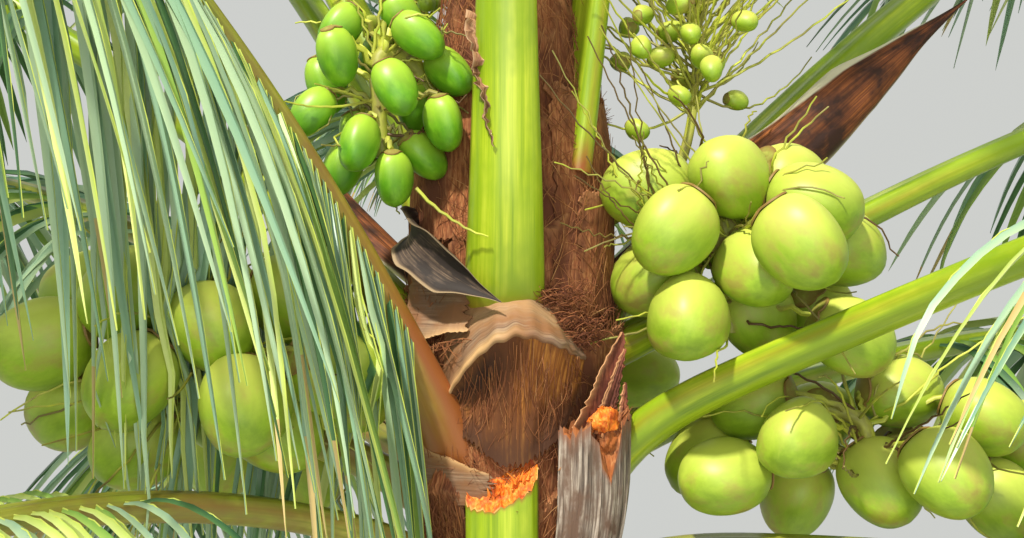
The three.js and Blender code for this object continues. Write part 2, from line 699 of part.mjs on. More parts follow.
// Spathe: a crescent section, swept along its path, widest in the middle and pointed at the tip.
function spatheSolid(spathe) {
  const curve = spatheCurve(spathe);
  const rings = Array.from({ length: SPATHE.steps + 1 }, (_, i) => {
    const share = i / SPATHE.steps;
    const point = curve.getPointAt(share);
    const along = curve.getTangentAt(share);
    const outward = point.clone().sub(HEART).setZ(0).normalize();
    const roll = radians(spathe.roll ?? 0);
    const side = along.clone().cross(outward).normalize().applyAxisAngle(along, roll);
    const face = side.clone().cross(along);
    const belly = Math.sin(Math.PI * Math.min(1, share * 0.9 + 0.08)) ** 0.8;
    const swell = SPATHE.root + (1 - SPATHE.root) * belly;
    const late = Math.max(0, share - SPATHE.taperFrom) / (1 - SPATHE.taperFrom);
    const taper = 1 - SPATHE.taper * late;
    const [half, depth] = [(spathe.width / 2) * swell * taper, spathe.depth * swell * taper];
    const wall = spathe.wall * (0.5 + 0.5 * taper);
    const arc = (angle, inner) =>
      point
        .clone()
        .addScaledVector(side, Math.cos(angle) * (half - inner))
        .addScaledVector(face, -Math.sin(angle) * (depth - inner) + SPATHE.back * depth);
    const outer = SPATHE.outer.map((turn) => arc(Math.PI * turn, 0));
    const inner = SPATHE.inner.map((turn) => arc(Math.PI * turn, wall));
    return [...outer, ...inner];
  });
  return solidOf(loft(rings));
}

// Sheath: a thick sheet round part of the heart. It clings at its foot, leans out to its top edge,
// and the top edge is arched.
function sheathSolid(sheath) {
  const [across, upward] = SHEATH.steps;
  const [bottom, top] = sheath.heights;
  const layer = (thickness) =>
    Array.from({ length: upward + 1 }, (_, j) =>
      Array.from({ length: across + 1 }, (_, i) => {
        const [u, v] = [i / across, j / upward];
        const azimuth = THREE.MathUtils.lerp(sheath.azimuths[0], sheath.azimuths[1], u);
        const hump = Math.sin(Math.PI * u);
        const height = bottom + (top - bottom + sheath.arch * hump) * v;
        const lean = SHEATH.edge + (1 - SHEATH.edge) * hump;
        const stand = SHEATH.gap + sheath.stand * v ** 1.5 * lean;
        const distance = tableValue(HEART_RADII, height) + stand + thickness;
        return crownPoint(azimuth, distance, height);
      }),
    );
  const sheets = [layer(0), layer(SHEATH.wall)];
  const points = sheets.flat(2);
  const row = across + 1;
  const size = row * (upward + 1);
  const faces = [];
  const quad = (a, b, c, d) => faces.push(a, b, c, a, c, d);
  for (let j = 0; j < upward; j++) {
    for (let i = 0; i < across; i++) {
      const a = j * row + i;
      quad(a, a + row, a + row + 1, a + 1);
      quad(size + a, size + a + 1, size + a + row + 1, size + a + row);
    }
  }
  const edge = [];
  for (let i = 0; i < across; i++) edge.push(i);
  for (let j = 0; j < upward; j++) edge.push(j * row + across);
  for (let i = across; i > 0; i--) edge.push(upward * row + i);
  for (let j = upward; j > 0; j--) edge.push(j * row);
  edge.forEach((a, i) => {
    const b = edge[(i + 1) % edge.length];
    quad(a, b, size + b, size + a);
  });
  const middle = (sheath.azimuths[0] + sheath.azimuths[1]) / 2;
  const ends = [SHEATH_SEAT.inner, tableValue(HEART_RADII, bottom) + SHEATH_SEAT.past];
  const line = ends.map((distance) => crownPoint(middle, distance, bottom + SHEATH_SEAT.above));
  const seat = taperedTube(line, [SHEATH_SEAT.radius, SHEATH_SEAT.radius], SHEATH_SEAT.sides);
  return wasm.Manifold.union([solidOf(geometryFrom(points, faces)), seat]);
}

// Stub: a short piece of stalk with a slanted end.
function stubSolid(stub) {
  const spine = new Spine({ ...stub, rootBend: STUB.bend });
  const rings = STUB.rings.map((share, i, all) => {
    const frame = spine.at(share * stub.length);
    const late = Math.max(0, share - STUB.endFrom) / (1 - STUB.endFrom);
    const swell = THREE.MathUtils.lerp(STUB.root, 1, Math.min(1, share * 2));
    const narrow = late > 0 ? THREE.MathUtils.lerp(stub.neck ?? 1, stub.end, late) : 1;
    const ring = stalkRing(frame, stub.width * swell * narrow, STUB.depth * (0.5 + 0.5 * narrow));
    ring.forEach((point) => {
      const offset = point.clone().sub(frame.point);
      const [across, above] = [offset.dot(frame.side), offset.dot(frame.up)];
      point.addScaledVector(frame.side, (stub.lean ?? 0) * late);
      if (i < all.length - 1) return;
      point.addScaledVector(frame.along, across * stub.slant + above * (stub.slope ?? 0));
    });
    return ring;
  });
  return solidOf(loft(rings));
}

// Sub-parts, each cut clear of the heart
const heart = column(HEART_RADII, HEART_SIDES);
const heartRoom = column(HEART_RADII, HEART_SIDES, CLEAR);
const offHeart = (solid) => mainBody(solid.subtract(heartRoom));

const heartTop = HEART_RADII.at(-1)[0];
const spearRows = [
  [heartTop + CLEAR, SPEAR.radius],
  [heartTop + SPEAR.length * 0.5, SPEAR.radius * 0.8],
  [heartTop + SPEAR.length, SPEAR.tip],
];

const fronds = [...SHOWN_FRONDS, ...FROND_ROWS.flatMap(frondRow)].map((frond) => {
  const spine = new Spine(frond);
  const bare = offHeart(solidOf(frondGeometry(frond, spine, () => false)));
  return { frond, spine, bare };
});

const pieces = [];
const add = (name, solid, look) => pieces.push({ name, solid, look });
add("trunk", trunk(), "bark");
add("heart", heart, "fibre");
add("spear", column(spearRows, SPEAR.sides), "spear");
STUBS.forEach((stub) => {
  add(stub.name, offHeart(stubSolid(stub)), stub.name.includes("green") ? "stalk" : "deadwood");
});
SHEATHS.forEach((sheath) => add(sheath.name, offHeart(sheathSolid(sheath)), "fibre"));
SPATHES.forEach((spathe) => add(spathe.name, offHeart(spatheSolid(spathe)), "husk"));
FLOWER_STALKS.forEach((flower) => {
  const others = pieces.filter(({ name }) => name !== "heart");
  const limbs = [...others.map(({ solid }) => solid), ...fronds.map(({ bare }) => bare)];
  add(flower.name, offHeart(flowerSolid(flower, limbs)), "flower");
});
const placedNuts = [];
BUNCHES.forEach((bunch) => {
  const look = bunch.nut === NUT ? "nut" : "young_nut";
  add(bunch.name, offHeart(bunchSolid(bunch, fronds, placedNuts)), look);
});

// A leaflet is left out where it would touch another piece.
const boxOf = (solid) => {
  const { min, max } = solid.boundingBox();
  return new THREE.Box3(new THREE.Vector3(...min), new THREE.Vector3(...max));
};
const taken = pieces.map((piece) => ({ owner: piece.name, solid: piece.solid, box: boxOf(piece.solid) }));
fronds.forEach(({ frond, bare }) => {
  taken.push({ owner: frond.name, solid: bare, box: boxOf(bare), bare: true });
});

function leafletFits(frond, solid) {
  const room = boxOf(solid).expandByScalar(LEAF_GAP);
  return taken.every((other) => {
    if (!room.intersectsBox(other.box)) return true;
    if (other.owner === frond.name && other.bare) return solid.intersect(other.solid).volume() < 1;
    return solid.minGap(other.solid, LEAF_GAP) >= LEAF_GAP;
  });
}

fronds.forEach(({ frond, spine }) => {
  const kept = new Set();
  for (let index = 0; index < leafletPairs(frond); index++) {
    for (const hand of [1, -1]) {
      const leaflet = solidOf(frondGeometry(frond, spine, null, { index, hand }));
      if (!leafletFits(frond, leaflet)) continue;
      kept.add(index * hand + (hand > 0 ? 0.5 : -0.5));
      taken.push({ owner: frond.name, solid: leaflet, box: boxOf(leaflet) });
    }
  }
  const wanted = (index, hand) => kept.has(index * hand + (hand > 0 ? 0.5 : -0.5));
  const solid = offHeart(solidOf(frondGeometry(frond, spine, wanted)));
  pieces.push({ name: frond.name, solid, look: "leaf" });
});

// Finishes
const LOOKS = {
  bark: { color: "#8d7f6c", roughness: 0.9 },
  fibre: { color: "#8a5130", roughness: 0.95 },
  spear: { color: "#b9c95a", roughness: 0.5 },
  stalk: { color: "#9db51f", roughness: 0.45 },
  deadwood: { color: "#8c7a6c", roughness: 0.9 },
  husk: { color: "#7a4a2a", roughness: 0.8 },
  flower: { color: "#b5c63a", roughness: 0.6 },
  nut: { color: "#a3cc24", roughness: 0.35 },
  young_nut: { color: "#6fae1c", roughness: 0.35 },
  leaf: { color: "#7fa66a", roughness: 0.5 },
};

const palm = new THREE.Group();
pieces.forEach(({ name, solid, look }) => {
  const material = new THREE.MeshStandardMaterial({ ...LOOKS[look], metalness: 0 });
  const mesh = new THREE.Mesh(geometryOf(solid), material);
  mesh.name = name;
  palm.add(mesh);
});

export default palm;
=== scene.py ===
import bpy
import numpy as np
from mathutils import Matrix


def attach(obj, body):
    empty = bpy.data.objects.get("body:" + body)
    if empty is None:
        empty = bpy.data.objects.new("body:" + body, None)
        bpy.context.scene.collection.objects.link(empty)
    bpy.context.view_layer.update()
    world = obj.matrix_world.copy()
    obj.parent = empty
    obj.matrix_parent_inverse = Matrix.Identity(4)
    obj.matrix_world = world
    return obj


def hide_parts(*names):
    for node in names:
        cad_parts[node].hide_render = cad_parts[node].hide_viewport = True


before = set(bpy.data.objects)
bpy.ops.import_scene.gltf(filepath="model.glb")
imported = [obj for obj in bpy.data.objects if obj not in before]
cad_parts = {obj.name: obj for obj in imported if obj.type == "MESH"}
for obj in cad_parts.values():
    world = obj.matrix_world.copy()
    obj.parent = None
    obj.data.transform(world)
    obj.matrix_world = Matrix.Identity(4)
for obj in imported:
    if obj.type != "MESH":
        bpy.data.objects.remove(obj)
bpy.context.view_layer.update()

# Trunk: one hard fibrous stem under grey-brown skin, ringed by the scars of the leaves that it shed.
# It leans a little, swells into a bole at its foot and ends in a flat cut at ground level.
HEART = np.array([90.0, 40.0, 2450.0])
TRUNK_TOP = 1760.0
TRUNK_HEIGHTS = [0, 40, 120, 240, 420, 700, 1100, 1500, TRUNK_TOP]
TRUNK_RADII = [235, 222, 200, 178, 158, 146, 140, 138, 142]
LEAN_POWER = 1.4
SCAR_SPACING = (34.0, 60.0)
SCAR_LIP = 6.0
rng = np.random.default_rng(11)


def linear(code):
    """sRGB hex as linear red, green, blue and alpha: ((c + 0.055) / 1.055) ** 2.4 above 0.04045."""
    srgb = np.array([int(code[i : i + 2], 16) for i in (1, 3, 5)]) / 255
    value = np.where(srgb > 0.04045, ((srgb + 0.055) / 1.055) ** 2.4, srgb / 12.92)
    return (*value.tolist(), 1.0)


def add(tree, kind, settings, **links):
    """Adds a node. Settings are its own values, or values of its sockets; links join sockets to it."""
    made = tree.nodes.new("ShaderNode" + kind)
    for key, value in settings.items():
        if key == "stops":
            while len(made.color_ramp.elements) < len(value):
                made.color_ramp.elements.new(0.5)
            for element, (place, code) in zip(made.color_ramp.elements, value):
                element.position = place
                element.color = linear(code)
        elif hasattr(made, key):
            setattr(made, key, value)
        else:
            made.inputs[key.replace("_", " ")].default_value = value
    for key, socket in links.items():
        tree.links.new(socket, made.inputs[key.replace("_", " ")])
    return made


def plant_surface(name, stops, grain, patch, tone, roughness, relief, **sockets):
    """Plant tissue: streaks of noise along the grain between the stops' colours, broader patches of one
    colour over them, a further colour laid on by the tone attribute, and relief under all.
    grain is the streaks' size across and along, and patch is (size, colour, share), all in millimetres."""
    made = bpy.data.materials.new(name)
    made.use_nodes = True
    tree = made.node_tree
    shader = tree.nodes["Principled BSDF"]
    place = add(tree, "Attribute", {"attribute_name": "grain"}).outputs["Vector"]
    shade = add(tree, "Attribute", {"attribute_name": "tone"}).outputs["Fac"]
    across, along = grain
    fine = add(tree, "Mapping", {"Scale": (1 / across, 1 / across, 1 / along)}, Vector=place)
    streaks = add(tree, "TexNoise", {"Scale": 1.0, "Detail": 6.0, "Roughness": 0.62}, Vector=fine.outputs[0])
    colour = add(tree, "ValToRGB", {"stops": stops}, Fac=streaks.outputs["Fac"]).outputs["Color"]
    size, patch_colour, share = patch
    wide = add(tree, "Mapping", {"Scale": (1 / size, 1 / size, 0.6 / size)}, Vector=place)
    blots = add(tree, "TexNoise", {"Scale": 1.0, "Detail": 4.0, "Roughness": 0.6}, Vector=wide.outputs[0])
    edge = [(0.56 - share / 2, "#000000"), (0.74 - share / 2, "#ffffff")]
    mask = add(tree, "ValToRGB", {"stops": edge}, Fac=blots.outputs["Fac"]).outputs["Color"]
    colour = add(
        tree, "MixRGB", {"Color2": linear(patch_colour)}, Fac=mask, Color1=colour
    ).outputs["Color"]
    colour = add(tree, "MixRGB", {"Color2": linear(tone)}, Fac=shade, Color1=colour).outputs["Color"]
    tree.links.new(colour, shader.inputs["Base Color"])
    dents = add(tree, "Bump", {"Strength": 0.7, "Distance": relief / 1000}, Height=streaks.outputs["Fac"])
    tree.links.new(dents.outputs["Normal"], shader.inputs["Normal"])
    shader.inputs["Roughness"].default_value = roughness
    for key, value in sockets.items():
        shader.inputs[key.replace("_", " ")].default_value = value
    return made


def tube_faces(rows, columns, count):
    """Quads of closed tubes. Round the side (r, c), (r, c+1), (r+1, c+1), (r+1, c), and over each end
    strips from c, c+1 across to the points opposite them, columns-2-c and columns-1-c."""
    row, column = np.meshgrid(np.arange(rows - 1), np.arange(columns), indexing="ij")
    this, after = row * columns, (column + 1) % columns
    side = [this + column, this + after, this + columns + after, this + columns + column]
    c = np.arange(columns // 2 - 1)
    strip = np.stack([c, c + 1, columns - 2 - c, columns - 1 - c], axis=-1)
    last = (rows - 1) * columns
    one = np.concatenate([np.stack(side, axis=-1).reshape(-1, 4), strip[:, ::-1], strip + last])
    start = np.arange(count) * rows * columns
    return one[None] + start[:, None, None]


def join(name, parts, looks, nodes, angle=40):
    """One piece of closed tubes that rides on the tree and stands for its nodes. A part is (points of
    shape count, rows, columns, 3; grain of the same shape; tone per point; look for all or per face)."""
    points, grains, tones, quads, kinds = [], [], [], [], []
    start = 0
    for place, grain, tone, look in parts:
        count, rows, columns, _ = place.shape
        faces = tube_faces(rows, columns, count)
        points.append(place.reshape(-1, 3))
        grains.append(np.broadcast_to(grain, place.shape).reshape(-1, 3))
        tones.append(np.broadcast_to(tone, place.shape[:3]).reshape(-1))
        kinds.append(np.broadcast_to(look, faces.shape[:2]).reshape(-1))
        quads.append(faces.reshape(-1, 4) + start)
        start += count * rows * columns
    points, quads = np.concatenate(points), np.concatenate(quads)
    mesh = bpy.data.meshes.new(name)
    mesh.vertices.add(len(points))
    mesh.vertices.foreach_set("co", (points / 1000).astype(np.float32).ravel())
    mesh.loops.add(quads.size)
    mesh.loops.foreach_set("vertex_index", quads.astype(np.int32).ravel())
    mesh.polygons.add(len(quads))
    mesh.polygons.foreach_set("loop_start", np.arange(0, quads.size, 4, dtype=np.int32))
    mesh.polygons.foreach_set("material_index", np.concatenate(kinds).astype(np.int32))
    mesh.attributes.new("grain", "FLOAT_VECTOR", "POINT").data.foreach_set(
        "vector", np.concatenate(grains).astype(np.float32).ravel()
    )
    mesh.attributes.new("tone", "FLOAT", "POINT").data.foreach_set(
        "value", np.concatenate(tones).astype(np.float32)
    )
    for look in looks:
        mesh.materials.append(look)
    mesh.update(calc_edges=True)
    mesh.validate()
    mesh.shade_smooth()
    mesh.set_sharp_from_angle(angle=np.radians(angle))
    made = bpy.data.objects.new(name, mesh)
    bpy.context.scene.collection.objects.link(made)
    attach(made, "root")
    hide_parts(*nodes)


def ripple(around, along, seed, waves=7):
    """Smooth unevenness between about -1 and 1: sines of m * around + k * along + phase, added up and
    divided by sqrt(waves)."""
    draw = np.random.default_rng(seed)
    m = draw.integers(1, 14, waves)
    k = draw.normal(0, 1.0, waves)
    phase = draw.uniform(0, 6.28, waves)
    total = sum(np.sin(m[i] * around + k[i] * along + phase[i]) for i in range(waves))
    return total / np.sqrt(waves)


def round_angles(count):
    """Angles evenly round a ring, the last one short of the first."""
    return np.linspace(0, 2 * np.pi, count, endpoint=False)


def bump(value, middle, width):
    """Bell curve: exp(-((value - middle) / width) ** 2)."""
    return np.exp(-(((value - middle) / width) ** 2))


def stacked(x, y, z):
    """Points whose x, y and z are stretched to one shape."""
    return np.stack(np.broadcast_arrays(x, y, z), axis=-1)


def trunk_points(rows, columns):
    """Round rings whose middle leans over by (h / top) ** power. The radius is table(h), a lip at every
    leaf scar as SCAR_LIP * bump, a groove under it and shallow cracks between."""
    h, a = np.meshgrid(np.linspace(0, TRUNK_TOP, rows), round_angles(columns), indexing="ij")
    scars = np.cumsum(rng.uniform(*SCAR_SPACING, 60))
    scars = scars[scars < TRUNK_TOP - 20]
    tilt = 9 * np.sin(a[..., None] + np.arange(len(scars)) * 2.4) + 4 * ripple(a, h / 300, 3)[..., None]
    offset = h[..., None] - scars - tilt
    lip = (SCAR_LIP * bump(offset, 0, 6) - 3.2 * bump(offset, -13, 8)).sum(-1)
    fade = np.clip(h / 60, 0, 1) * np.clip((TRUNK_TOP - h) / 40, 0, 1)
    cracks = 1.6 * ripple(a * 5, h / 26, 5) + 3.0 * ripple(a, h / 170, 6)
    radius = np.interp(h, TRUNK_HEIGHTS, TRUNK_RADII) + fade * (lip + cracks)
    over = (h / TRUNK_TOP) ** LEAN_POWER
    points = stacked(HEART[0] * over + radius * np.cos(a), HEART[1] * over + radius * np.sin(a), h)
    grain = stacked(180 * np.cos(a), 180 * np.sin(a), h)
    return points[None], grain[None], np.clip(lip / SCAR_LIP, 0, 1)[None] * 0.6, 0


# Palm bark: weathered skin over fibres, matt, in greys and browns with paler scars
bark = plant_surface(
    "palm_bark", [(0.3, "#4e4438"), (0.48, "#8a7c68"), (0.66, "#a89a86")], (22, 9), (130, "#6f6656", 0.3),
    "#b8ab98", 0.92, 2.0,
)
join("trunk_bark", [trunk_points(300, 96)], [bark], ["trunk"])

# Heart: old leaf sheaths wrap the growing tip in layers of brown fibre that weave like sacking.
# The layers are one rippled column with torn mats and loose fibres laid over it.
HEART_HEIGHTS = [-689.6, -600, -400, -200, 0, 230, 400, 525, 700, 850, 1000]
HEART_RADII = [150, 172, 192, 200, 196, 186, 160, 132, 104, 80, 46]
HEART_TOP = 1000.4
LAYER_PITCH = 190.0
FIBRE_RINGS = 5
FIBRE_RADIUS = 0.85
LOOSE_FIBRES = dict(count=2900, azimuths=(-180, 180), heights=(-670, 860), length=(40, 170), slant=30,
                    lift=5.0, stand=6.0)


def heart_radius(height):
    """Radius of the heart by its table, at a height from its middle."""
    return np.interp(height, HEART_HEIGHTS, HEART_RADII)


def crown_point(azimuth, distance, height):
    """Point by azimuth in degrees, distance from the heart's axis and height from the heart's middle."""
    angle = np.radians(azimuth)
    return HEART + stacked(distance * np.cos(angle), distance * np.sin(angle), height)


def unit(vectors):
    """Vectors divided by their own lengths."""
    return vectors / np.linalg.norm(vectors, axis=-1, keepdims=True)


def carried(point, side, up, across, above):
    """Section carried along a path: point + side * across + up * above."""
    point, side, up = point[..., None, :], side[..., None, :], up[..., None, :]
    return point + side * across[..., None] + up * above[..., None]


def strands(paths, radii, columns=4, look=0, tone=0.0):
    """Round tubes along paths of shape count, rows, 3: path + side * r * cos(t) + up * r * sin(t), where
    side = along x reference and the reference is the axis that the path's chord leans from most."""
    along = unit(np.gradient(paths, axis=1))
    chord = paths[:, -1] - paths[:, 0]
    reference = np.eye(3)[np.argmin(np.abs(chord), axis=-1)][:, None, :]
    side = unit(np.cross(reference, along))
    t = round_angles(columns)
    radii = np.broadcast_to(radii, paths.shape[:2])[..., None]
    across, above = radii * np.cos(t), radii * np.sin(t)
    points = carried(paths, side, np.cross(along, side), across, above)
    steps = np.linalg.norm(np.diff(paths, axis=1), axis=-1)
    length = np.concatenate([np.zeros((len(paths), 1)), np.cumsum(steps, axis=1)], axis=1)
    grain = stacked(across, above, length[..., None])
    return points, grain + np.arange(len(paths))[:, None, None, None] * 31.7, tone, look


def heart_points(rows, columns):
    """Column about the heart's axis: radius = table(z) * (1 + (13 * layer ** 2 - 6 + ridges) / 200). The
    layers swell out and step back along a spiral, and the ridges are upright fibres."""
    height = np.linspace(HEART_HEIGHTS[0], HEART_TOP, rows)
    z, a = np.meshgrid(height, round_angles(columns), indexing="ij")
    layer = (z / LAYER_PITCH - a / np.pi + 0.18 * ripple(a, z / 150, 8)) % 1
    ridges = 2.2 * ripple(a * 9, z / 90, 9) + 4.0 * ripple(a, z / 70, 10)
    radius = heart_radius(z) * (1 + (13 * layer**2 - 6 + ridges) / 200)
    grain = stacked(200 * np.cos(a), 200 * np.sin(a), z)
    tone = np.clip((layer - 0.86) * 7, 0, 1) * 0.5
    return crown_point(np.degrees(a), radius, z)[None], grain[None], tone[None], 0


def heart_fibres(count, azimuths, heights, length, slant, lift, stand):
    """Fibres over the heart: from a drawn place, slanting either way from upright by about slant degrees
    and rising off the surface as lift * share ** 2."""
    share = np.linspace(0, 1, FIBRE_RINGS)
    azimuth = rng.uniform(*azimuths, (count, 1))
    height = rng.uniform(*heights, (count, 1))
    reach = rng.uniform(*length, (count, 1))
    turn = np.radians(rng.choice([-1, 1], (count, 1)) * rng.normal(slant, 9, (count, 1)))
    curl = rng.normal(0, 0.35, (count, 1))
    z = height + reach * share * np.cos(turn + curl * share)
    sweep = np.degrees(reach * share * np.sin(turn + curl * share) / heart_radius(height))
    off = stand + rng.uniform(0, 3, (count, 1)) + rng.exponential(lift, (count, 1)) * share**2
    z = np.clip(z, HEART_HEIGHTS[0] + 5, HEART_TOP - 20)
    return crown_point(azimuth + sweep, heart_radius(z) + 6 + off, z)


def between(pair, share):
    """Even step from the first value of a pair to its second: first + (second - first) * share."""
    return pair[0] + (pair[1] - pair[0]) * share


def two_faced(outer, inner):
    """Rings round a sheet: across its outer face and back across its inner face."""
    return np.concatenate([outer, inner[:, ::-1]], axis=1)


def mat(azimuths, heights, stand, torn, seed, power=1.5, thick=5.0, rows=26, columns=60, look=0, slope=0.0,
        level=False):
    """Torn sheath: a sheet round part of the heart. At share v of its height it stands off by
    stand0 + (stand1 - stand0) * v ** power, its top edge is ragged by torn * ripple and rises by slope
    from one end to the other. The grain runs round the heart where it is level, and else up."""
    u = np.linspace(0, 1, columns)
    v = np.linspace(0, 1, rows)[:, None]
    azimuth = between(azimuths, u) + 3.0 * ripple(v * 9, 0, seed + 5) * np.abs(2 * u - 1) ** 6
    rag = torn * (ripple(u * 2, 0, seed) + 0.45 * ripple(u * 26, 1, seed + 1))
    bottom = heights[0] + 0.4 * torn * ripple(u * 9, 2, seed)
    top = heights[1] + rag + slope * (u - 0.5)
    z = between((bottom, top), v)
    off = between(stand, v**power) + 4.0 * ripple(u * 0.9, v * 3, seed + 2)
    distance = heart_radius(z) + 5 + off
    points = two_faced(crown_point(azimuth, distance + thick, z), crown_point(azimuth, distance, z))
    width = np.radians(azimuth) * 200
    flat = stacked(z, 0.0, width) if level else stacked(width, 0.0, z)
    return points[None], two_faced(flat, flat)[None], v**12 * (0.8 if look else 0.5), look


# Leaf-sheath fibre: coir, matt and hairy, red-brown where fresh and darker in its folds
fibre = plant_surface(
    "sheath_fibre", [(0.3, "#4a2818"), (0.47, "#9a5a34"), (0.64, "#c48958")], (5, 34), (90, "#6a3c26", 0.3),
    "#b98457", 0.95, 2.0,
)
# Sheath skin: the smooth dry outside of an old sheath, tan to grey, slightly shiny
sheath_skin = plant_surface(
    "dry_sheath", [(0.32, "#4f392b"), (0.5, "#866a54"), (0.68, "#ab8f72")], (5, 160), (60, "#8c5f3c", 0.35),
    "#d9ae78", 0.7, 1.2,
)
# Single coir fibres: pale to dark brown strands
strand = plant_surface(
    "coir_strand", [(0.3, "#6a3a20"), (0.5, "#ad7040"), (0.68, "#dba86e")], (30, 90), (60, "#7e4a2c", 0.35),
    "#d9b98a", 0.8, 0.2,
)
WRAPS = [
    dict(azimuths=(-150, -84), heights=(60, 380), stand=(2, 10), torn=9, seed=20),
    dict(azimuths=(-66, 30), heights=(-60, 330), stand=(1, 7), torn=12, seed=21, slope=-60),
    dict(azimuths=(-50, 10), heights=(-90, 170), stand=(3, 10), torn=12, seed=28, slope=70),
    dict(azimuths=(20, 130), heights=(40, 420), stand=(2, 12), torn=10, seed=22),
    dict(azimuths=(110, 220), heights=(-120, 240), stand=(2, 14), torn=10, seed=23),
    dict(azimuths=(-60, 70), heights=(-420, -120), stand=(2, 16), torn=9, seed=24),
    dict(azimuths=(60, 190), heights=(-480, -190), stand=(2, 18), torn=10, seed=25),
    dict(azimuths=(-190, -136), heights=(-420, -60), stand=(3, 12), torn=9, seed=26, slope=-40),
    dict(azimuths=(-178, -101), heights=(-455, -350), stand=(14, 20), torn=2, seed=27, thick=8, look=1,
         level=True, slope=-76, power=0.6),
    dict(azimuths=(-110, -158), heights=(-16, -136), stand=(8, 50), torn=2, seed=29, look=1, slope=-40,
         level=True),
]


def fray(azimuths, heights, stand, seed, slope=0.0, **rest):
    """Fibres that stand out of a mat's torn edge, about four to every three degrees of its width. The
    rest of the mat's values aren't needed."""
    draw = np.random.default_rng(seed)
    count = int(1.3 * abs(azimuths[1] - azimuths[0]))
    u = draw.random((count, 1))
    share = np.linspace(0, 1, FIBRE_RINGS)
    way = np.sign(heights[1] - heights[0])
    z = heights[1] + slope * (u - 0.5) - 14 + draw.exponential(20, (count, 1)) * share * way
    sweep = draw.normal(0, 5, (count, 1)) * share**1.5
    out = stand[1] + 8 + draw.normal(0, 1.5, (count, 1)) + draw.exponential(7, (count, 1)) * share**2
    return crown_point(between(azimuths, u) + sweep, heart_radius(z) + out, z)


parts = [heart_points(230, 130)] + [mat(**sizes) for sizes in WRAPS]
join("heart_sheaths", parts, [fibre, sheath_skin], ["heart"])
torn = np.concatenate([fray(**sizes) for sizes in WRAPS])
parts = [strands(group, FIBRE_RADIUS * np.linspace(1, 0.5, FIBRE_RINGS))
         for group in (heart_fibres(**LOOSE_FIBRES), torn)]
join("heart_fibres", parts, [strand], ["heart"])

# Spear: the youngest leaf, its leaflets still folded shut into one pale pleated rod above the heart.
SPEAR = {"length": 1650.0, "radius": 34.0, "tip": 7.0, "pleats": 7}


def spear_points(rows, columns):
    """Rod whose radius falls from radius to tip as v ** 1.3, pleated by 0.16 * cos(pleats * a + 2.5 v) and
    creased by 0.05 * sin(19 a + 9 v)."""
    v = np.linspace(0, 1, rows)[:, None]
    a = round_angles(columns)
    body = between((SPEAR["radius"], SPEAR["tip"]), v**1.3)
    radius = body * (1 + 0.16 * np.cos(SPEAR["pleats"] * a + 2.5 * v) + 0.05 * np.sin(19 * a + 9 * v))
    z = HEART_TOP + SPEAR["length"] * v
    grain = stacked(radius * np.cos(a), radius * np.sin(a), z)
    return crown_point(np.degrees(a), radius, z)[None], grain[None], 0.0, 0


# Young leaf tissue: thin, waxy and pale yellow-green
spear_leaf = plant_surface(
    "folded_leaf", [(0.35, "#9db04a"), (0.6, "#cdd87a")], (4, 200), (120, "#b9c95a", 0.2),
    "#e2e6a0", 0.42, 0.3,
)
join("spear_leaf", [spear_points(60, 42)], [spear_leaf], ["spear"])

# Fronds: each is a stiff stalk, grooved on top and round below, that carries two rows of leaflets.
# Its foot grips the heart, its rise falls along its length, and its leaflets hang the more the older it is.
GOLDEN_ANGLE = np.pi * (3 - np.sqrt(5))
STALK_WIDTH = (140.0, 74.0, 9.0)
STALK_DEPTH = (84.0, 58.0, 8.0)
STALK_SINK = 30.0
FULL_HEART = 190.0
ROOT_BEND = 0.12
ARCH_POWER = 1.6
SWING = 0.35
SPINE_STEPS = 120
LEAFLET = {"thick": 1.1, "splay": (97.0, 34.0), "lift": 0.12, "rings": 11, "fall_turn": 0.3}
# A stalk's brown margin, firm or limp: how far it comes in, its reach and its strength, then the length
# of the brown foot
MARGIN = (0.02, 900.0, 0.35, 70.0)
LIMP_MARGIN = (0.12, 800.0, 0.8, 420.0)


def frond(name, start, heading, rise, length, leaf_start, leaf_length, hang, arch=ARCH_POWER,
          root_bend=ROOT_BEND, stout=1.0, limp=0.0, fall=((0, 0, -1), (0, 0, -1)), spacing=26.0, blade=46.0,
          late=0.0):
    """One frond's values. It starts at an azimuth and height on the heart, heads one way at its root and
    another further out, and rises in degrees at root, shoulder and tip. Its stalk is slim from leaf_start
    on, and its leaflets begin late after that."""
    return dict(name=name, start=start, heading=heading, rise=rise, length=length, leaf_start=leaf_start,
                leaf_length=leaf_length, hang=hang, arch=arch, root_bend=root_bend, stout=stout, limp=limp,
                fall=fall, spacing=spacing, blade=blade, late=late)


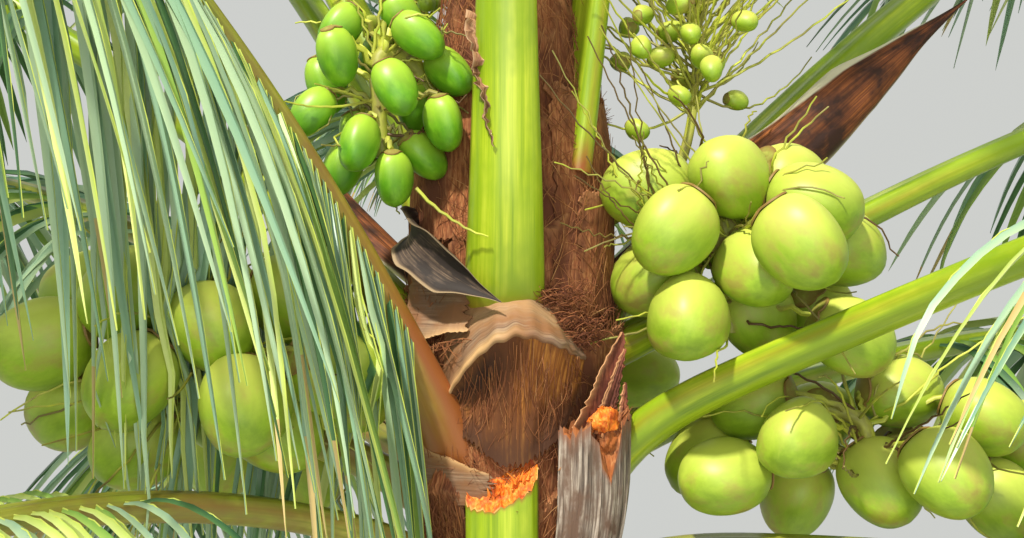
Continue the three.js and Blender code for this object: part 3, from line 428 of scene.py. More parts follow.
SHOWN_FRONDS = [
    frond("frond_front_upright", (-95, -75), (-88, -90), (48, 87, 30), 3500, 1350, 820, 0.5, stout=1.14),
    frond("frond_back_steep", (-45, 190), (30, 60), (80, 83, 42), 3600, 1250, 850, 0.6, stout=0.8),
    frond("frond_right_high", (46, -150), (30, 27), (40, 43, -8), 4000, 1150, 980, 1.2, stout=1.3,
          late=380.0),
    frond("frond_right_front", (-60, 575), (-24, -20), (64, 66, 6), 3700, 1000, 880, 0.8),
    frond("frond_right_middle", (2, -175), (12, 10), (24, 29, -30), 4050, 1100, 1000, 1.6),
    frond("frond_right_bent", (-19, -480), (-22, -58), (72, 26, -36), 3800, 1250, 940, 1.9, stout=1.1,
          spacing=36.0, blade=32.0),
    frond("frond_right_back", (31, -430), (27, 30), (34, 14, -44), 3700, 1000, 900, 2.0),
    frond("frond_right_low", (-6, -640), (-10, -18), (34, 2, -46), 3600, 900, 820, 2.1),
    frond("frond_left_low", (-146, -640), (-136, -140), (48, 30, -60), 3000, 760, 760, 1.5, arch=0.9,
          spacing=28.0, blade=32.0),
    frond("frond_left_curtain", (-132, -370), (-132, -140), (62, 56, -22), 4100, 420, 1040, 1.6, limp=0.7,
          fall=((-0.25, -0.2, -0.95), (0.42, -0.12, -0.9)), spacing=25.0, blade=37.0,
          late=-140.0),
]


def frond_row(name, count, arc, first, height, rise, length, leaf_start, leaf_length, hang):
    """Fronds spread by the golden ratio over an arc, whose measures go evenly from youngest to oldest."""
    made = []
    for k in range(count):
        age = k / (count - 1)
        azimuth = between(arc, (first + k * GOLDEN_ANGLE / (2 * np.pi)) % 1)
        rises = tuple(between(pair, age) for pair in zip(*rise))
        made.append(frond(f"{name}_{k + 1}", (azimuth, between(height, age)), (azimuth, azimuth), rises,
                          between(length, age), leaf_start, between(leaf_length, age), between(hang, age)))
    return made


YOUNG_FRONDS = frond_row("frond_young", 4, (-75, 250), 0.2, (760, 560), ((64, 84, 60), (58, 74, 38)),
                         (2900, 3400), 1000, (700, 840), (0.25, 0.5))
BACK_FRONDS = frond_row("frond_back", 9, (72, 195), 0.3, (330, -600), ((54, 68, 18), (44, 12, -54)),
                        (3700, 3800), 1050, (880, 960), (0.7, 2.2))
FRONDS = SHOWN_FRONDS + YOUNG_FRONDS + BACK_FRONDS


def heading_of(stalk, share):
    """Heading in radians, turned from the first to the later one over the swing as s ** 2 * (3 - 2 s)."""
    swing = np.clip(np.asarray(share) / SWING, 0, 1)
    first, later = stalk["heading"]
    return np.radians(first + (later - first) * swing**2 * (3 - 2 * swing))


def direction_of(stalk, share):
    """(cos h cos r, sin h cos r, sin r), where the rise r runs from root to shoulder over the root bend
    and on to the tip as share ** arch."""
    root, shoulder, tip = stalk["rise"]
    share = np.asarray(share)
    bend = np.maximum(0, 1 - share / stalk["root_bend"]) ** 2
    rise = np.radians(shoulder + (root - shoulder) * bend + (tip - shoulder) * share ** stalk["arch"])
    heading = heading_of(stalk, share)
    return stacked(np.cos(heading) * np.cos(rise), np.sin(heading) * np.cos(rise), np.sin(rise))


def spine_of(stalk):
    """Middle line of a stalk: its directions added up in equal steps."""
    azimuth, height = stalk["start"]
    first = crown_point(azimuth, heart_radius(height) - STALK_SINK, height)
    steps = direction_of(stalk, (np.arange(SPINE_STEPS) + 0.5) / SPINE_STEPS) * stalk["length"] / SPINE_STEPS
    return np.vstack([first, first + np.cumsum(steps, axis=0)])


def along_path(at, places, points):
    """Points of a path at given places, by straight steps between its own points and their places."""
    return np.stack([np.interp(at, places, points[:, k]) for k in range(3)], axis=-1)


def frame_at(stalk, lengths):
    """Point, direction, left side and upper side at lengths along a stalk."""
    share = np.clip(np.asarray(lengths) / stalk["length"], 0, 1)
    point = along_path(share * SPINE_STEPS, np.arange(SPINE_STEPS + 1), stalk["spine"])
    along = direction_of(stalk, share)
    heading = heading_of(stalk, share)
    side = stacked(-np.sin(heading), np.cos(heading), 0.0)
    return point, along, side, np.cross(along, side)


def stalk_size(stalk, lengths, size):
    """Broad at the root, slimmer to the first leaflets as (1 - l / start) ** 1.6, then evenly to the tip."""
    base, leaf, tip = size
    lengths = np.asarray(lengths, float)
    base = base * min(1, heart_radius(stalk["start"][1]) / FULL_HEART)
    bare = leaf + (base - leaf) * np.clip(1 - lengths / stalk["leaf_start"], 0, 1) ** 1.6
    share = (lengths - stalk["leaf_start"]) / (stalk["length"] - stalk["leaf_start"])
    return stalk["stout"] * np.where(lengths < stalk["leaf_start"], bare, leaf + (tip - leaf) * share)


def stalk_part(stalk, rows=72, columns=22, look=0):
    """Section half-width * cos t across, and above it 0.42 * sin t ** 0.6 with a shallow groove, or below
    it 0.58 * sin t ** 0.85, carried along the spine. The tone browns its margins and its foot."""
    lengths = stalk["length"] * np.linspace(0, 1, rows) ** 1.25
    point, _, side, up = frame_at(stalk, lengths)
    lengths = lengths[:, None]
    t = round_angles(columns)
    width, depth = stalk_size(stalk, lengths, STALK_WIDTH), stalk_size(stalk, lengths, STALK_DEPTH)
    rise, fall = np.clip(np.sin(t), 0, 1), np.clip(-np.sin(t), 0, 1)
    across = 0.5 * width * np.cos(t) + 0.7 * ripple(t * 2, lengths / 200, 30)
    above = depth * (0.42 * rise**0.6 * (1 - 0.3 * rise**6) - 0.58 * fall**0.85)
    points = carried(point, side, up, across, above)
    edge, reach, most, foot = LIMP_MARGIN if stalk["limp"] else MARGIN
    margin = bump(np.abs(np.cos(t)), 1, edge) * np.clip(1.15 - lengths / reach, 0, most)
    tone = np.clip(margin + np.clip(1 - lengths / foot, 0, 1), 0, 1)
    return points[None], stacked(across, above, lengths)[None], tone, look


def dry_curl(stalk, low=330.0, high=570.0, width=36.0, rows=44, columns=20, look=2):
    """Torn strip of sheath on the stalk's left edge, from length high down to low: a flat oval section
    that narrows as (1 - s) ** 0.5, turns over as it falls and stands off by 8 + 10 * sin(pi s)."""
    s = np.linspace(0, 1, rows)
    lengths = between((high, low), s)
    point, _, side, up = frame_at(stalk, lengths)
    half = 0.5 * stalk_size(stalk, lengths, STALK_WIDTH)
    deep = 0.58 * stalk_size(stalk, lengths, STALK_DEPTH)
    away = half * (1.02 - 0.62 * s**1.6) + 4 * ripple(s * 9, 0, 44)
    under = deep * (1 - (away / half).clip(0, 1) ** 3) + 8 + 10 * np.sin(np.pi * s)
    middle = point - side * away[:, None] - up * under[:, None]
    run = unit(np.gradient(middle, axis=0))
    flat = unit(np.cross(run, -up))
    turn = (0.2 + 1.5 * s + 0.25 * ripple(s * 7, 0, 45))[:, None]
    wide = flat * np.cos(turn) + np.cross(flat, run) * np.sin(turn)
    t = round_angles(columns)
    size = (0.5 * width * ((1 - s) ** 0.5 * (1 + 0.16 * ripple(s * 16, 0, 46)) + 0.05))[:, None]
    across = size * np.cos(t)
    above = (2.6 - 1.6 * s)[:, None] * np.sin(t) + 0.35 * size * np.cos(t) ** 2
    points = carried(middle, wide, np.cross(wide, run), across, above)
    return points[None], stacked(across, above, 260 * s[:, None])[None], 0.7 * np.abs(np.cos(t)) ** 8, look


for stalk in FRONDS:
    stalk["spine"] = spine_of(stalk)

# Nuts and their stalks hold the leaflets off, so their places are worked out before the leaflets.
NUT = {"width": 165.0, "length": 186.0}
YOUNG_NUT = {"width": 82.0, "length": 116.0}
BUNCHES = [
    dict(name="bunch_right", middle=(429, -131, -3), reach=(185, 127, 174), nuts=14, turn=4.66,
         start=(-8, -60), nut=NUT),
    dict(name="bunch_right_low", middle=(709, -28, -375), reach=(358, 161, 130), nuts=13, turn=0.84,
         start=(20, -330), nut=NUT),
    dict(name="bunch_left", middle=(-565, -356, -174), reach=(265, 112, 123), nuts=16, turn=1.56,
         start=(-160, -180), nut=NUT),
    dict(name="bunch_left_young", middle=(-250, -190, 330), reach=(140, 80, 165), nuts=16, turn=0.7,
         start=(-140, 130), nut=YOUNG_NUT),
    dict(name="bunch_back", middle=(148, 470, -220), reach=(150, 110, 140), nuts=9, turn=0.2,
         start=(76, -90), nut=NUT),
    dict(name="bunch_back_left", middle=(-475, 84, -270), reach=(140, 110, 130), nuts=8, turn=1.4,
         start=(160, -240), nut=NUT),
]
NUT_ROOM = {"apart": 1.01, "around": 0.56, "margin": 12.0, "rounds": 60}
SPATHES = [
    dict(name="spathe_right", path=[(16, 185, -60), (15, 620, 265), (15, 830, 440), (14, 1035, 595)],
         width=148, depth=50, wall=9, roll=62),
    dict(name="spathe_left_dark", path=[(-166, 196, 100), (-142, 268, 70), (-118, 284, 2), (-94, 286, -62)],
         width=92, depth=36, wall=8, roll=0),
    dict(name="spathe_back", path=[(145, 185, -60), (146, 470, 150), (147, 620, 300), (148, 760, 480)],
         width=110, depth=44, wall=9, roll=0),
]
FLOWERS = [
    dict(name="flower_stalk_right", start=(4, 80), knee=(330, -10, 190), tip=(392, 10, 640), branches=130,
         branch=430, button=44, buttons=18, turn=0.5, cluster=(296, -90, 296), reach=(150, 90, 120),
         stray=20),
    dict(name="flower_stalk_back", start=(135, 130), knee=(-200, 200, 430), tip=(-240, 240, 780), branches=46,
         branch=300, button=40, buttons=6, turn=1.9, cluster=(-220, 230, 520), reach=(90, 90, 110),
         stray=0),
]
FLOWER_STEM = 17.0
STUB_BEND = 0.6
STUB_STOPS = {"shares": (0.8, 1.0), "radius": 38.0, "end_from": 0.7}
STUBS = [
    dict(name="stub_green_cut", start=(-97, -650), heading=(-93, -93), rise=(20, 86, 86), length=264,
         width=140, slant=0.35, slope=1.1, lean=0, torn=7),
    dict(name="stub_grey_broken", start=(-52, -650), heading=(-55, -55), rise=(18, 89, 89), length=590,
         width=158, slant=0.2, slope=0, lean=62, torn=16),
    dict(name="stub_back", start=(66, -640), heading=(66, 66), rise=(20, 62, 62), length=330,
         width=130, slant=-0.3, slope=0, lean=0, torn=20),
    dict(name="stub_back_left", start=(160, -655), heading=(160, 160), rise=(10, 24, 24), length=150,
         width=110, slant=0.3, slope=0, lean=0, torn=12),
]
FINE_STEPS = 400
STALK_STOPS = 26
STALK_STOPS_PAST_LEAF = 300.0
PATH_STOPS = 13


def curve_points(corners, count, even=False):
    """Centripetal Catmull-Rom curve through corners: a cubic between each two, whose end slopes come
    from the four nearest corners spaced by the square root of their distances."""
    corners = np.asarray(corners, float)
    padded = np.vstack([2 * corners[0] - corners[1], corners, 2 * corners[-1] - corners[-2]])
    share = np.linspace(0, 1, FINE_STEPS if even else count) * (len(corners) - 1)
    i = np.minimum(share.astype(int), len(corners) - 2)
    w = (share - i)[:, None]
    p = [padded[i + k] for k in range(4)]
    d = [np.sqrt(np.linalg.norm(p[k + 1] - p[k], axis=-1))[:, None] for k in range(3)]
    start = ((p[1] - p[0]) / d[0] - (p[2] - p[0]) / (d[0] + d[1]) + (p[2] - p[1]) / d[1]) * d[1]
    end = ((p[2] - p[1]) / d[1] - (p[3] - p[1]) / (d[1] + d[2]) + (p[3] - p[2]) / d[2]) * d[1]
    square, cube = 3 * (p[2] - p[1]) - 2 * start - end, 2 * (p[1] - p[2]) + start + end
    points = p[1] + start * w + square * w**2 + cube * w**3
    if not even:
        return points
    length = np.concatenate([[0], np.cumsum(np.linalg.norm(np.diff(points, axis=0), axis=1))])
    return along_path(np.linspace(0, length[-1], count), length, points)


def root_point(start):
    """Where a piece leaves the heart: start's azimuth and height, a little under the surface."""
    return crown_point(start[0], heart_radius(start[1]) - STALK_SINK, start[1])


def flower_corners(flower):
    """Corners of a flower stem: root, knee and tip."""
    return [root_point(flower["start"]), HEART + flower["knee"], HEART + flower["tip"]]


def spathe_corners(spathe):
    """Corners of a spathe's path as points."""
    return [crown_point(*corner) for corner in spathe["path"]]


def stub_frame(stub, shares):
    """Frames along a stub's middle line, leant aside by lean * (share - end_from) / (1 - end_from)."""
    stalk = dict(stub, arch=ARCH_POWER, root_bend=STUB_BEND)
    stalk["spine"] = spine_of(stalk)
    point, along, side, up = frame_at(stalk, np.asarray(shares) * stub["length"])
    late = np.maximum(0, np.asarray(shares) - STUB_STOPS["end_from"]) / (1 - STUB_STOPS["end_from"])
    return point + side * (stub["lean"] * late)[:, None], along, side, up


def fixed_stops():
    """Places that nuts keep off, as (points, radii): the stalks, then the spathes, the flower stems and
    the upper ends of the stubs."""
    stalks = []
    for stalk in FRONDS:
        lengths = np.linspace(0, stalk["leaf_start"] + STALK_STOPS_PAST_LEAF, STALK_STOPS)
        stalks.append((frame_at(stalk, lengths)[0], stalk_size(stalk, lengths, STALK_WIDTH) / 2))
    boats = [(curve_points(spathe_corners(spathe), PATH_STOPS), np.full(PATH_STOPS, spathe["width"] / 2))
             for spathe in SPATHES]
    stems = [(curve_points(flower_corners(flower), PATH_STOPS), np.full(PATH_STOPS, FLOWER_STEM))
             for flower in FLOWERS]
    radius = np.full(len(STUB_STOPS["shares"]), STUB_STOPS["radius"])
    ends = [(stub_frame(stub, STUB_STOPS["shares"])[0], radius) for stub in STUBS]
    return stalks, boats + stems + ends


def settle(bunch, stalks, nuts, rest):
    """Nut middles: a golden spiral over an egg-shaped reach, then rounds in which each nut is pushed
    apart from its neighbours, off the heart and off each stop that it comes too near, in turn."""
    middle = HEART + bunch["middle"]
    k = np.arange(bunch["nuts"])
    level = 1 - 2 * (k + 0.5) / bunch["nuts"]
    around = bunch["turn"] + k * GOLDEN_ANGLE
    spread = np.sqrt(1 - level**2)
    places = stacked(np.cos(around) * spread, np.sin(around) * spread, level) * bunch["reach"] + middle
    size = bunch["nut"]["width"]
    groups = stalks + nuts + rest
    stops = np.vstack([group[0] for group in groups])
    radii = np.concatenate([group[1] for group in groups])
    room = size * NUT_ROOM["around"] + NUT_ROOM["margin"]
    for _ in range(NUT_ROOM["rounds"]):
        for i in range(len(places)):
            for j in range(i + 1, len(places)):
                apart = places[j] - places[i]
                gap = np.linalg.norm(apart)
                short = size * NUT_ROOM["apart"] - gap
                if short > 0:
                    places[j] += apart / gap * short / 2
                    places[i] -= apart / gap * short / 2
            out = places[i] - HEART
            inside = heart_radius(out[2]) + room - np.hypot(out[0], out[1])
            if inside > 0:
                places[i, :2] += out[:2] / np.hypot(out[0], out[1]) * inside
            after = 0
            while True:
                away = places[i] - stops[after:]
                gaps = np.linalg.norm(away, axis=1)
                near = np.flatnonzero(room + radii[after:] - gaps > 0)
                if not len(near):
                    break
                hit = near[0]
                places[i] += away[hit] / gaps[hit] * (room + radii[after + hit] - gaps[hit])
                after += hit + 1
    return places


stalk_stops, other_stops = fixed_stops()
nut_stops = []
for bunch in BUNCHES:
    bunch["places"] = settle(bunch, stalk_stops, nut_stops, other_stops)
    nut_stops.append((bunch["places"], np.full(bunch["nuts"], bunch["nut"]["width"] / 2)))

# Leaflets: long folded blades, ridged along the midrib, stiff near the stalk and limp towards the tip.
# Old ones are blue-green with a waxy bloom, young ones yellow-green, and a few tips have dried.
HEART_CLEAR = 26.0
TRUNK_CLEAR = 175.0
TRUNK_LEVEL = -680.0
LEAFLET_CLEAR = 10.0
STOP_REACH = 3200.0
DRY_SHARE = 0.12


def draws(name):
    """A piece's own random numbers, seeded by the sum of its name's letter codes."""
    return np.random.default_rng(sum(map(ord, name)))


def leaflet_length(stalk, share):
    """Rises from 0.6 as a quarter sine to the longest, 0.3 along the blade, and falls by 0.74 * s ** 1.5."""
    rising = 0.6 + 0.4 * np.sin(np.pi / 2 * np.minimum(share / 0.3, 1))
    falling = 1 - 0.74 * np.maximum(0, (share - 0.3) / 0.7) ** 1.5
    return stalk["leaf_length"] * rising * falling


def pushed_off(paths, stops, radii, spare):
    """Moves the points of paths that lie inside a stop out to its surface, from the deepest one in each
    of two rounds, and then out of the heart and the trunk."""
    for _ in range(2):
        away = paths[:, :, None] - stops
        gap = np.linalg.norm(away, axis=-1)
        short = np.clip(radii + spare - gap, 0, None)
        worst = np.argmax(short, axis=-1)[..., None]
        push = np.take_along_axis(short, worst, -1) / np.maximum(np.take_along_axis(gap, worst, -1), 1)
        paths = paths + np.take_along_axis(away, worst[..., None], 2)[:, :, 0] * push
    out = paths - HEART
    height = out[..., 2]
    need = np.where(height < TRUNK_LEVEL, TRUNK_CLEAR, heart_radius(height) + HEART_CLEAR)
    need = np.where(height > HEART_TOP, 0, need)
    factor = np.maximum(1, need / np.maximum(np.linalg.norm(out[..., :2], axis=-1), 1))
    paths[..., :2] = HEART[:2] + out[..., :2] * factor[..., None]
    return paths


def leaflet_part(stalk, weights, draw):
    """Leaflets of one frond. Each leaves the stalk at a splay that closes towards the tip, or falls with
    a limp frond's others, and its direction at share v is first + down * hang * 0.98 v. Its section is a
    roof: an edge, the ridge, the other edge and the ridge's underside, each side
    half-width * min(1, 0.4 + 2.6 v) * (1 - v ** taper) ** 0.8, where a limp one's taper is longer. A
    yellow midrib runs along the ridge."""
    start = stalk["leaf_start"] + stalk["late"]
    blade = stalk["length"] - start
    pairs = int(blade / stalk["spacing"])
    limp, rings = stalk["limp"], LEAFLET["rings"]
    share = np.repeat((np.arange(pairs) + 0.5) / pairs, 2) + draw.uniform(-0.3, 0.3, 2 * pairs) / pairs
    hand = np.tile([1.0, -1.0], pairs)
    count = len(share)
    place = start + share * blade
    point, along, side, up = frame_at(stalk, place)
    splay = between(LEAFLET["splay"], np.clip(share, 0, 1) ** 0.8) + draw.normal(0, 4, count)
    splay = np.radians(splay)
    lift = LEAFLET["lift"] + draw.normal(0, 0.1, count)
    first = unit(along * np.cos(splay)[:, None] + side * (hand * np.sin(splay))[:, None] + up * lift[:, None])
    turn = np.clip(share / LEAFLET["fall_turn"], 0, 1)[:, None]
    fall = unit(between(np.array(stalk["fall"], float), turn) + draw.normal(0, 0.07, (count, 3)))
    first = unit(first * (1 - limp) + fall * limp)
    v = np.linspace(0, 1, rings)
    hang = stalk["hang"] * draw.normal(1, 0.12, count)
    droop = 0.98 * v[None] * hang[:, None]
    kinked = draw.random(count) < 0.1
    kink = kinked[:, None] * np.clip((v - draw.uniform(0.45, 0.8, count)[:, None]) * 14, 0, 1)
    sway = np.radians(draw.normal(0, 7 + 9 * limp, count))[:, None] * v
    bent = first[:, None] + along[:, None] * sway[..., None]
    heading = unit(bent + np.array([0, 0, -1.0]) * (droop + kink * 1.6)[..., None])
    length = leaflet_length(stalk, share) * draw.normal(1, 0.035, count).clip(0.9, 1.06)
    step = (length / (rings - 1))[:, None, None]
    root = point + side * (hand * 0.42 * stalk_size(stalk, place, STALK_WIDTH))[:, None]
    root = root + up * ((0.12 - 0.22 * limp) * stalk_size(stalk, place, STALK_DEPTH))[:, None]
    middle = (heading[:, 1:] + heading[:, :-1]) / 2
    paths = np.concatenate([root[:, None], root[:, None] + np.cumsum(middle * step, axis=1)], axis=1)
    others = [group for group, other in zip(stalk_stops, FRONDS) if other is not stalk]
    groups = others + nut_stops + other_stops
    stops = np.vstack([group[0] for group in groups])
    radii = np.concatenate([group[1] for group in groups])
    near = np.linalg.norm(stops - point.mean(0), axis=1) < STOP_REACH
    paths[:, 1:] = pushed_off(paths, stops[near], radii[near], LEAFLET_CLEAR)[:, 1:]
    heading = unit(np.gradient(paths, axis=1))
    flat = (along * (1 - limp) + side * (hand * limp)[:, None])[:, None]
    across = unit(flat - heading * (flat * heading).sum(-1, keepdims=True))
    over = -hand[:, None, None] * np.cross(heading, across)
    lateral = -hand[:, None, None] * across
    twist = np.radians(draw.normal(0, 26, count))[:, None] * v + np.radians(draw.normal(0, 8, count))[:, None]
    cosine, sine = np.cos(twist)[..., None], np.sin(twist)[..., None]
    lateral, over = lateral * cosine + over * sine, over * cosine - lateral * sine
    slim = np.minimum(1, 0.4 + 2.6 * v) * (1 - v ** (3 - 1.9 * limp)) ** 0.8 + 0.02
    half = 0.5 * stalk["blade"] * slim * (length / stalk["leaf_length"])[:, None] ** 0.6
    half = half * draw.normal(1, 0.1, count).clip(0.75, 1.2)[:, None]
    fold = np.radians(draw.normal(30, 7, count))[:, None] + 0.25 * (1 - v) ** 3
    out, drop = half * np.cos(fold), half * np.sin(fold)
    thick = LEAFLET["thick"]
    edge_left = paths + lateral * out[..., None] - over * drop[..., None]
    edge_right = paths - lateral * out[..., None] - over * drop[..., None]
    points = np.stack([edge_left, paths + over * thick, edge_right, paths - over * thick], axis=2)
    lengths = length[:, None] * v
    grain = np.stack([stacked(x, drop, lengths) for x in (out, 0.0, -out, 0.0)], axis=2)
    grain = grain + np.arange(count)[:, None, None, None] * np.array([53.0, 0, 0])
    chosen = draw.choice(len(weights), count, p=np.array(weights) / sum(weights))
    dried = draw.random(count) < DRY_SHARE
    tail = draw.integers(1, 4, count)
    segment = np.concatenate([np.repeat(np.arange(rings - 1), 4), [0, rings - 1]])
    look = np.where(dried[:, None] & (segment >= (rings - 1 - tail)[:, None]), len(weights), chosen[:, None])
    ridge = paths[:, ::2] + over[:, ::2] * 1.2
    ribs = strands(ridge, np.linspace(1.7, 0.7, ridge.shape[1]), look=len(weights) + 1)
    return (points, grain, np.array([0.55, 0, 0.55, 0.3]), look), ribs


def leaf_look(name, base, pale, roughness):
    """Leaf blade of one colour, veined lengthwise: fine ribs a few millimetres apart in bump alone, and
    a paler edge by the tone attribute."""
    stops = [(0.35, base), (0.65, base)]
    return plant_surface(name, stops, (3, 260), (300, base, 0.1), pale, roughness, 0.25)


# Palm leaf: a thin waxy skin over close parallel veins, glossy enough to flash white in the sun
LEAF_LOOKS = [
    leaf_look("leaf_blue_green", "#6f9a86", "#a9c79a", 0.36),
    leaf_look("leaf_grey_green", "#8fb094", "#c3d6a4", 0.36),
    leaf_look("leaf_green", "#6f9b3c", "#b7cf6a", 0.38),
    leaf_look("leaf_yellow_green", "#b4c95a", "#dfe69a", 0.4),
    leaf_look("leaf_dark", "#2f5a3e", "#6f9a5a", 0.36),
    leaf_look("leaf_dry_tip", "#b59a5c", "#d8c58e", 0.7),
    leaf_look("leaf_midrib", "#c3cf5e", "#dfe69a", 0.5),
]
# Shares of the first five looks among a frond's leaflets
OLD_MIX = (5, 4, 3, 2.5, 2.5)
CURTAIN_MIX = (6, 6, 1.5, 1.6, 1.5)
PALE_MIX = (3, 6, 2, 3, 1)
LOW_MIX = (1, 2, 3, 6, 2)
YOUNG_MIX = (1, 1.5, 5, 5, 1.5)
FROND_MIXES = {
    "frond_left_curtain": CURTAIN_MIX, "frond_right_bent": PALE_MIX, "frond_left_low": LOW_MIX,
    "frond_front_upright": YOUNG_MIX, "frond_back_steep": YOUNG_MIX, "frond_right_front": YOUNG_MIX,
}
# Frond stalk: a smooth green rind with fine long streaks and a waxy shine, browning into fibre at its foot
stalk_green = plant_surface(
    "stalk_rind", [(0.32, "#6f9016"), (0.5, "#a2bb1f"), (0.66, "#c6d43a")], (16, 900), (170, "#8aa81c", 0.3),
    "#9a5a2a", 0.34, 0.25, Coat_Weight=0.25, Coat_Roughness=0.25,
)
# Old frond stalk: the same rind, dull and olive, with brown patches
stalk_olive = plant_surface(
    "old_stalk_rind", [(0.32, "#5f6f1c"), (0.5, "#94a02c"), (0.66, "#bdb84a")], (14, 700),
    (120, "#8a7a34", 0.3), "#9a5a2a", 0.4, 0.3, Coat_Weight=0.15, Coat_Roughness=0.3,
)
OLIVE_STALKS = ("frond_left_low", "frond_left_curtain", "frond_right_low", "frond_back_7", "frond_back_8",
                "frond_back_9")
# Dry strip: sheath skin torn off the middle stalk's margin, thin, pink-brown and curled
dry_strip = plant_surface(
    "dry_strip", [(0.34, "#7a4a34"), (0.5, "#b3825e"), (0.66, "#d8ac84")], (4, 70), (30, "#5e3828", 0.25),
    "#e2c09a", 0.75, 0.8,
)
stalk_parts = [stalk_part(stalk, look=int(stalk["name"] in OLIVE_STALKS)) for stalk in FRONDS]
stalk_parts.append(dry_curl(SHOWN_FRONDS[0]))
join("frond_stalks", stalk_parts, [stalk_green, stalk_olive, dry_strip], [stalk["name"] for stalk in FRONDS],
     60)
# Fronds near enough to the camera that their leaflets get midribs
NEAR_FRONDS = ("frond_left_curtain", "frond_left_low", "frond_right_bent")
LEAFLET_GROUPS = {
    "shown_a": SHOWN_FRONDS[:5], "shown_b": SHOWN_FRONDS[5:8], "shown_c": SHOWN_FRONDS[8:],
    "young": YOUNG_FRONDS, "back_a": BACK_FRONDS[:5], "back_b": BACK_FRONDS[5:],
}
for group, members in LEAFLET_GROUPS.items():
    parts = []
    for stalk in members:
        name = stalk["name"]
        mix = FROND_MIXES.get(name, YOUNG_MIX if group == "young" else OLD_MIX)
        blades, ribs = leaflet_part(stalk, mix, draws(name))
        parts += [blades, ribs] if name in NEAR_FRONDS else [blades]
    join(f"leaflets_{group}", parts, LEAF_LOOKS, [stalk["name"] for stalk in members], 35)

# Coconuts: each hangs by its cap on a short twig of the bunch's branched stalk. A green husk is smooth
# and faintly three-sided, yellowed on its upper side by painted sunlight; the cap is six overlapping
# leathery scales.
NUT_GRID = (26, 30)
SMALL_NUT_GRID = (17, 20)
CAP_RINGS = 7


def frames_towards(direction):
    """Two sides square to each direction, so that side, other and direction are right-handed."""
    reference = np.where(np.abs(direction[..., 2:]) > 0.9, [[1.0, 0, 0]], [[0, 0, 1.0]])
    side = unit(np.cross(reference, direction))
    return side, np.cross(direction, side)


def nut_heading(hubs, places, droop, draw):
    """Way from cap to tip: out from the branch, sunk by droop towards straight down, and drawn about."""
    down = np.array([0, 0, -1.0])
    return unit(unit(places - hubs) * (1 - droop) + down * droop + draw.normal(0, 0.2, places.shape))


def turned_shape(middle, side, other, up, radius, angle, height):
    """Round shape about a line: middle + side * r cos a + other * r sin a + up * height."""
    across, above = radius * np.cos(angle), radius * np.sin(angle)
    flat = carried(middle[:, None], side[:, None], other[:, None], across, above)
    return flat + up[:, None, None] * height[..., None]


def nut_parts(places, direction, nut, draw):
    """Nuts on a grid of share v from cap to tip and angle a: radius = width / 2 * sin(pi v) ** 0.8 at
    level -cos(pi v), fuller towards the cap, by 1 + 0.055 cos 3a + 0.014 cos 6a for the three ridges. The
    tone is painted sunlight: it yellows the skin the higher it lies over the nut's middle. Their caps are
    lobed discs on the shoulder, 0.3 of the width in radius."""
    side, other = frames_towards(direction)
    count = len(places)
    scale = draw.uniform(0.93, 1.02, (count, 1, 1))
    width, length = nut["width"] * scale * 0.96, nut["length"] * scale
    rows, columns = NUT_GRID if nut["width"] > 100 else SMALL_NUT_GRID
    v = np.linspace(0.02, 0.98, rows)[None, :, None]
    a = round_angles(columns)
    roll = draw.uniform(0, 2 * np.pi, (count, 1, 1))
    level = -np.cos(np.pi * v)
    ridge = 1 + (0.055 * np.cos(3 * a + roll) + 0.014 * np.cos(6 * a + 2 * roll)) * (1 - level**4)
    ridge = ridge + 0.015 * np.cos(2 * a - roll)
    radius = width / 2 * np.sin(np.pi * v) ** 0.8 * (1 - 0.07 * level) * ridge
    along = (0.5 * level + 0.02 * bump(v, 1, 0.045)) * length
    points = turned_shape(places, side, other, direction, radius, a, along)
    shift = np.arange(count)[:, None, None] * 410.0
    grain = stacked(radius * np.cos(a) + shift, radius * np.sin(a), along)
    # Painted sunlight: the skin is yellowed the higher it lies over the nut's middle, as if lit from above
    painted_sunlight = (points[..., 2] - places[:, None, None, 2]) / (0.55 * width)
    tone = np.clip(0.2 + 0.75 * painted_sunlight + 0.06 * ripple(a, v * 4, 90), 0, 1)
    w = np.concatenate([np.linspace(0.05, 1, CAP_RINGS), np.linspace(1, 0.05, CAP_RINGS)])[None, :, None]
    below = (np.arange(2 * CAP_RINGS) >= CAP_RINGS)[None, :, None]
    lobes = 0.74 + 0.26 * np.abs(np.cos(1.5 * a + roll)) ** 0.5
    reach = 0.3 * width * w * lobes
    near = np.clip(reach / (0.5 * width), 0, 0.98)
    shoulder = -0.5 * length * np.sqrt(1 - near**2.4) - 0.004 * width
    lift = np.where(below, 0.0, 0.026 * width) + 0.03 * width * w**6
    caps = turned_shape(places, side, other, direction, reach, a, shoulder - lift)
    cap_grain = stacked(reach * np.cos(a) + shift, reach * np.sin(a), shoulder)
    return [(points, grain, tone, 0), (caps[:, ::-1], cap_grain[:, ::-1], w[:, ::-1] ** 6 * 0.8, 1)]


# Radii from foot to tip of a bunch's stem, of the twigs that hold nuts, of the bare wands and of the
# young bunch's bare twig, whose two ends lie across the middle stalk
STEM_RADII = (24, 13)
HOLD_RADII = (7, 5.5)
WAND_RADII = (3.4, 1.5)
TWIG_RADII = (3.6, 1.6)
TWIG = [(-178, -296, 150), (-44, -306, 60)]
WANDS_PER_NUT = 2


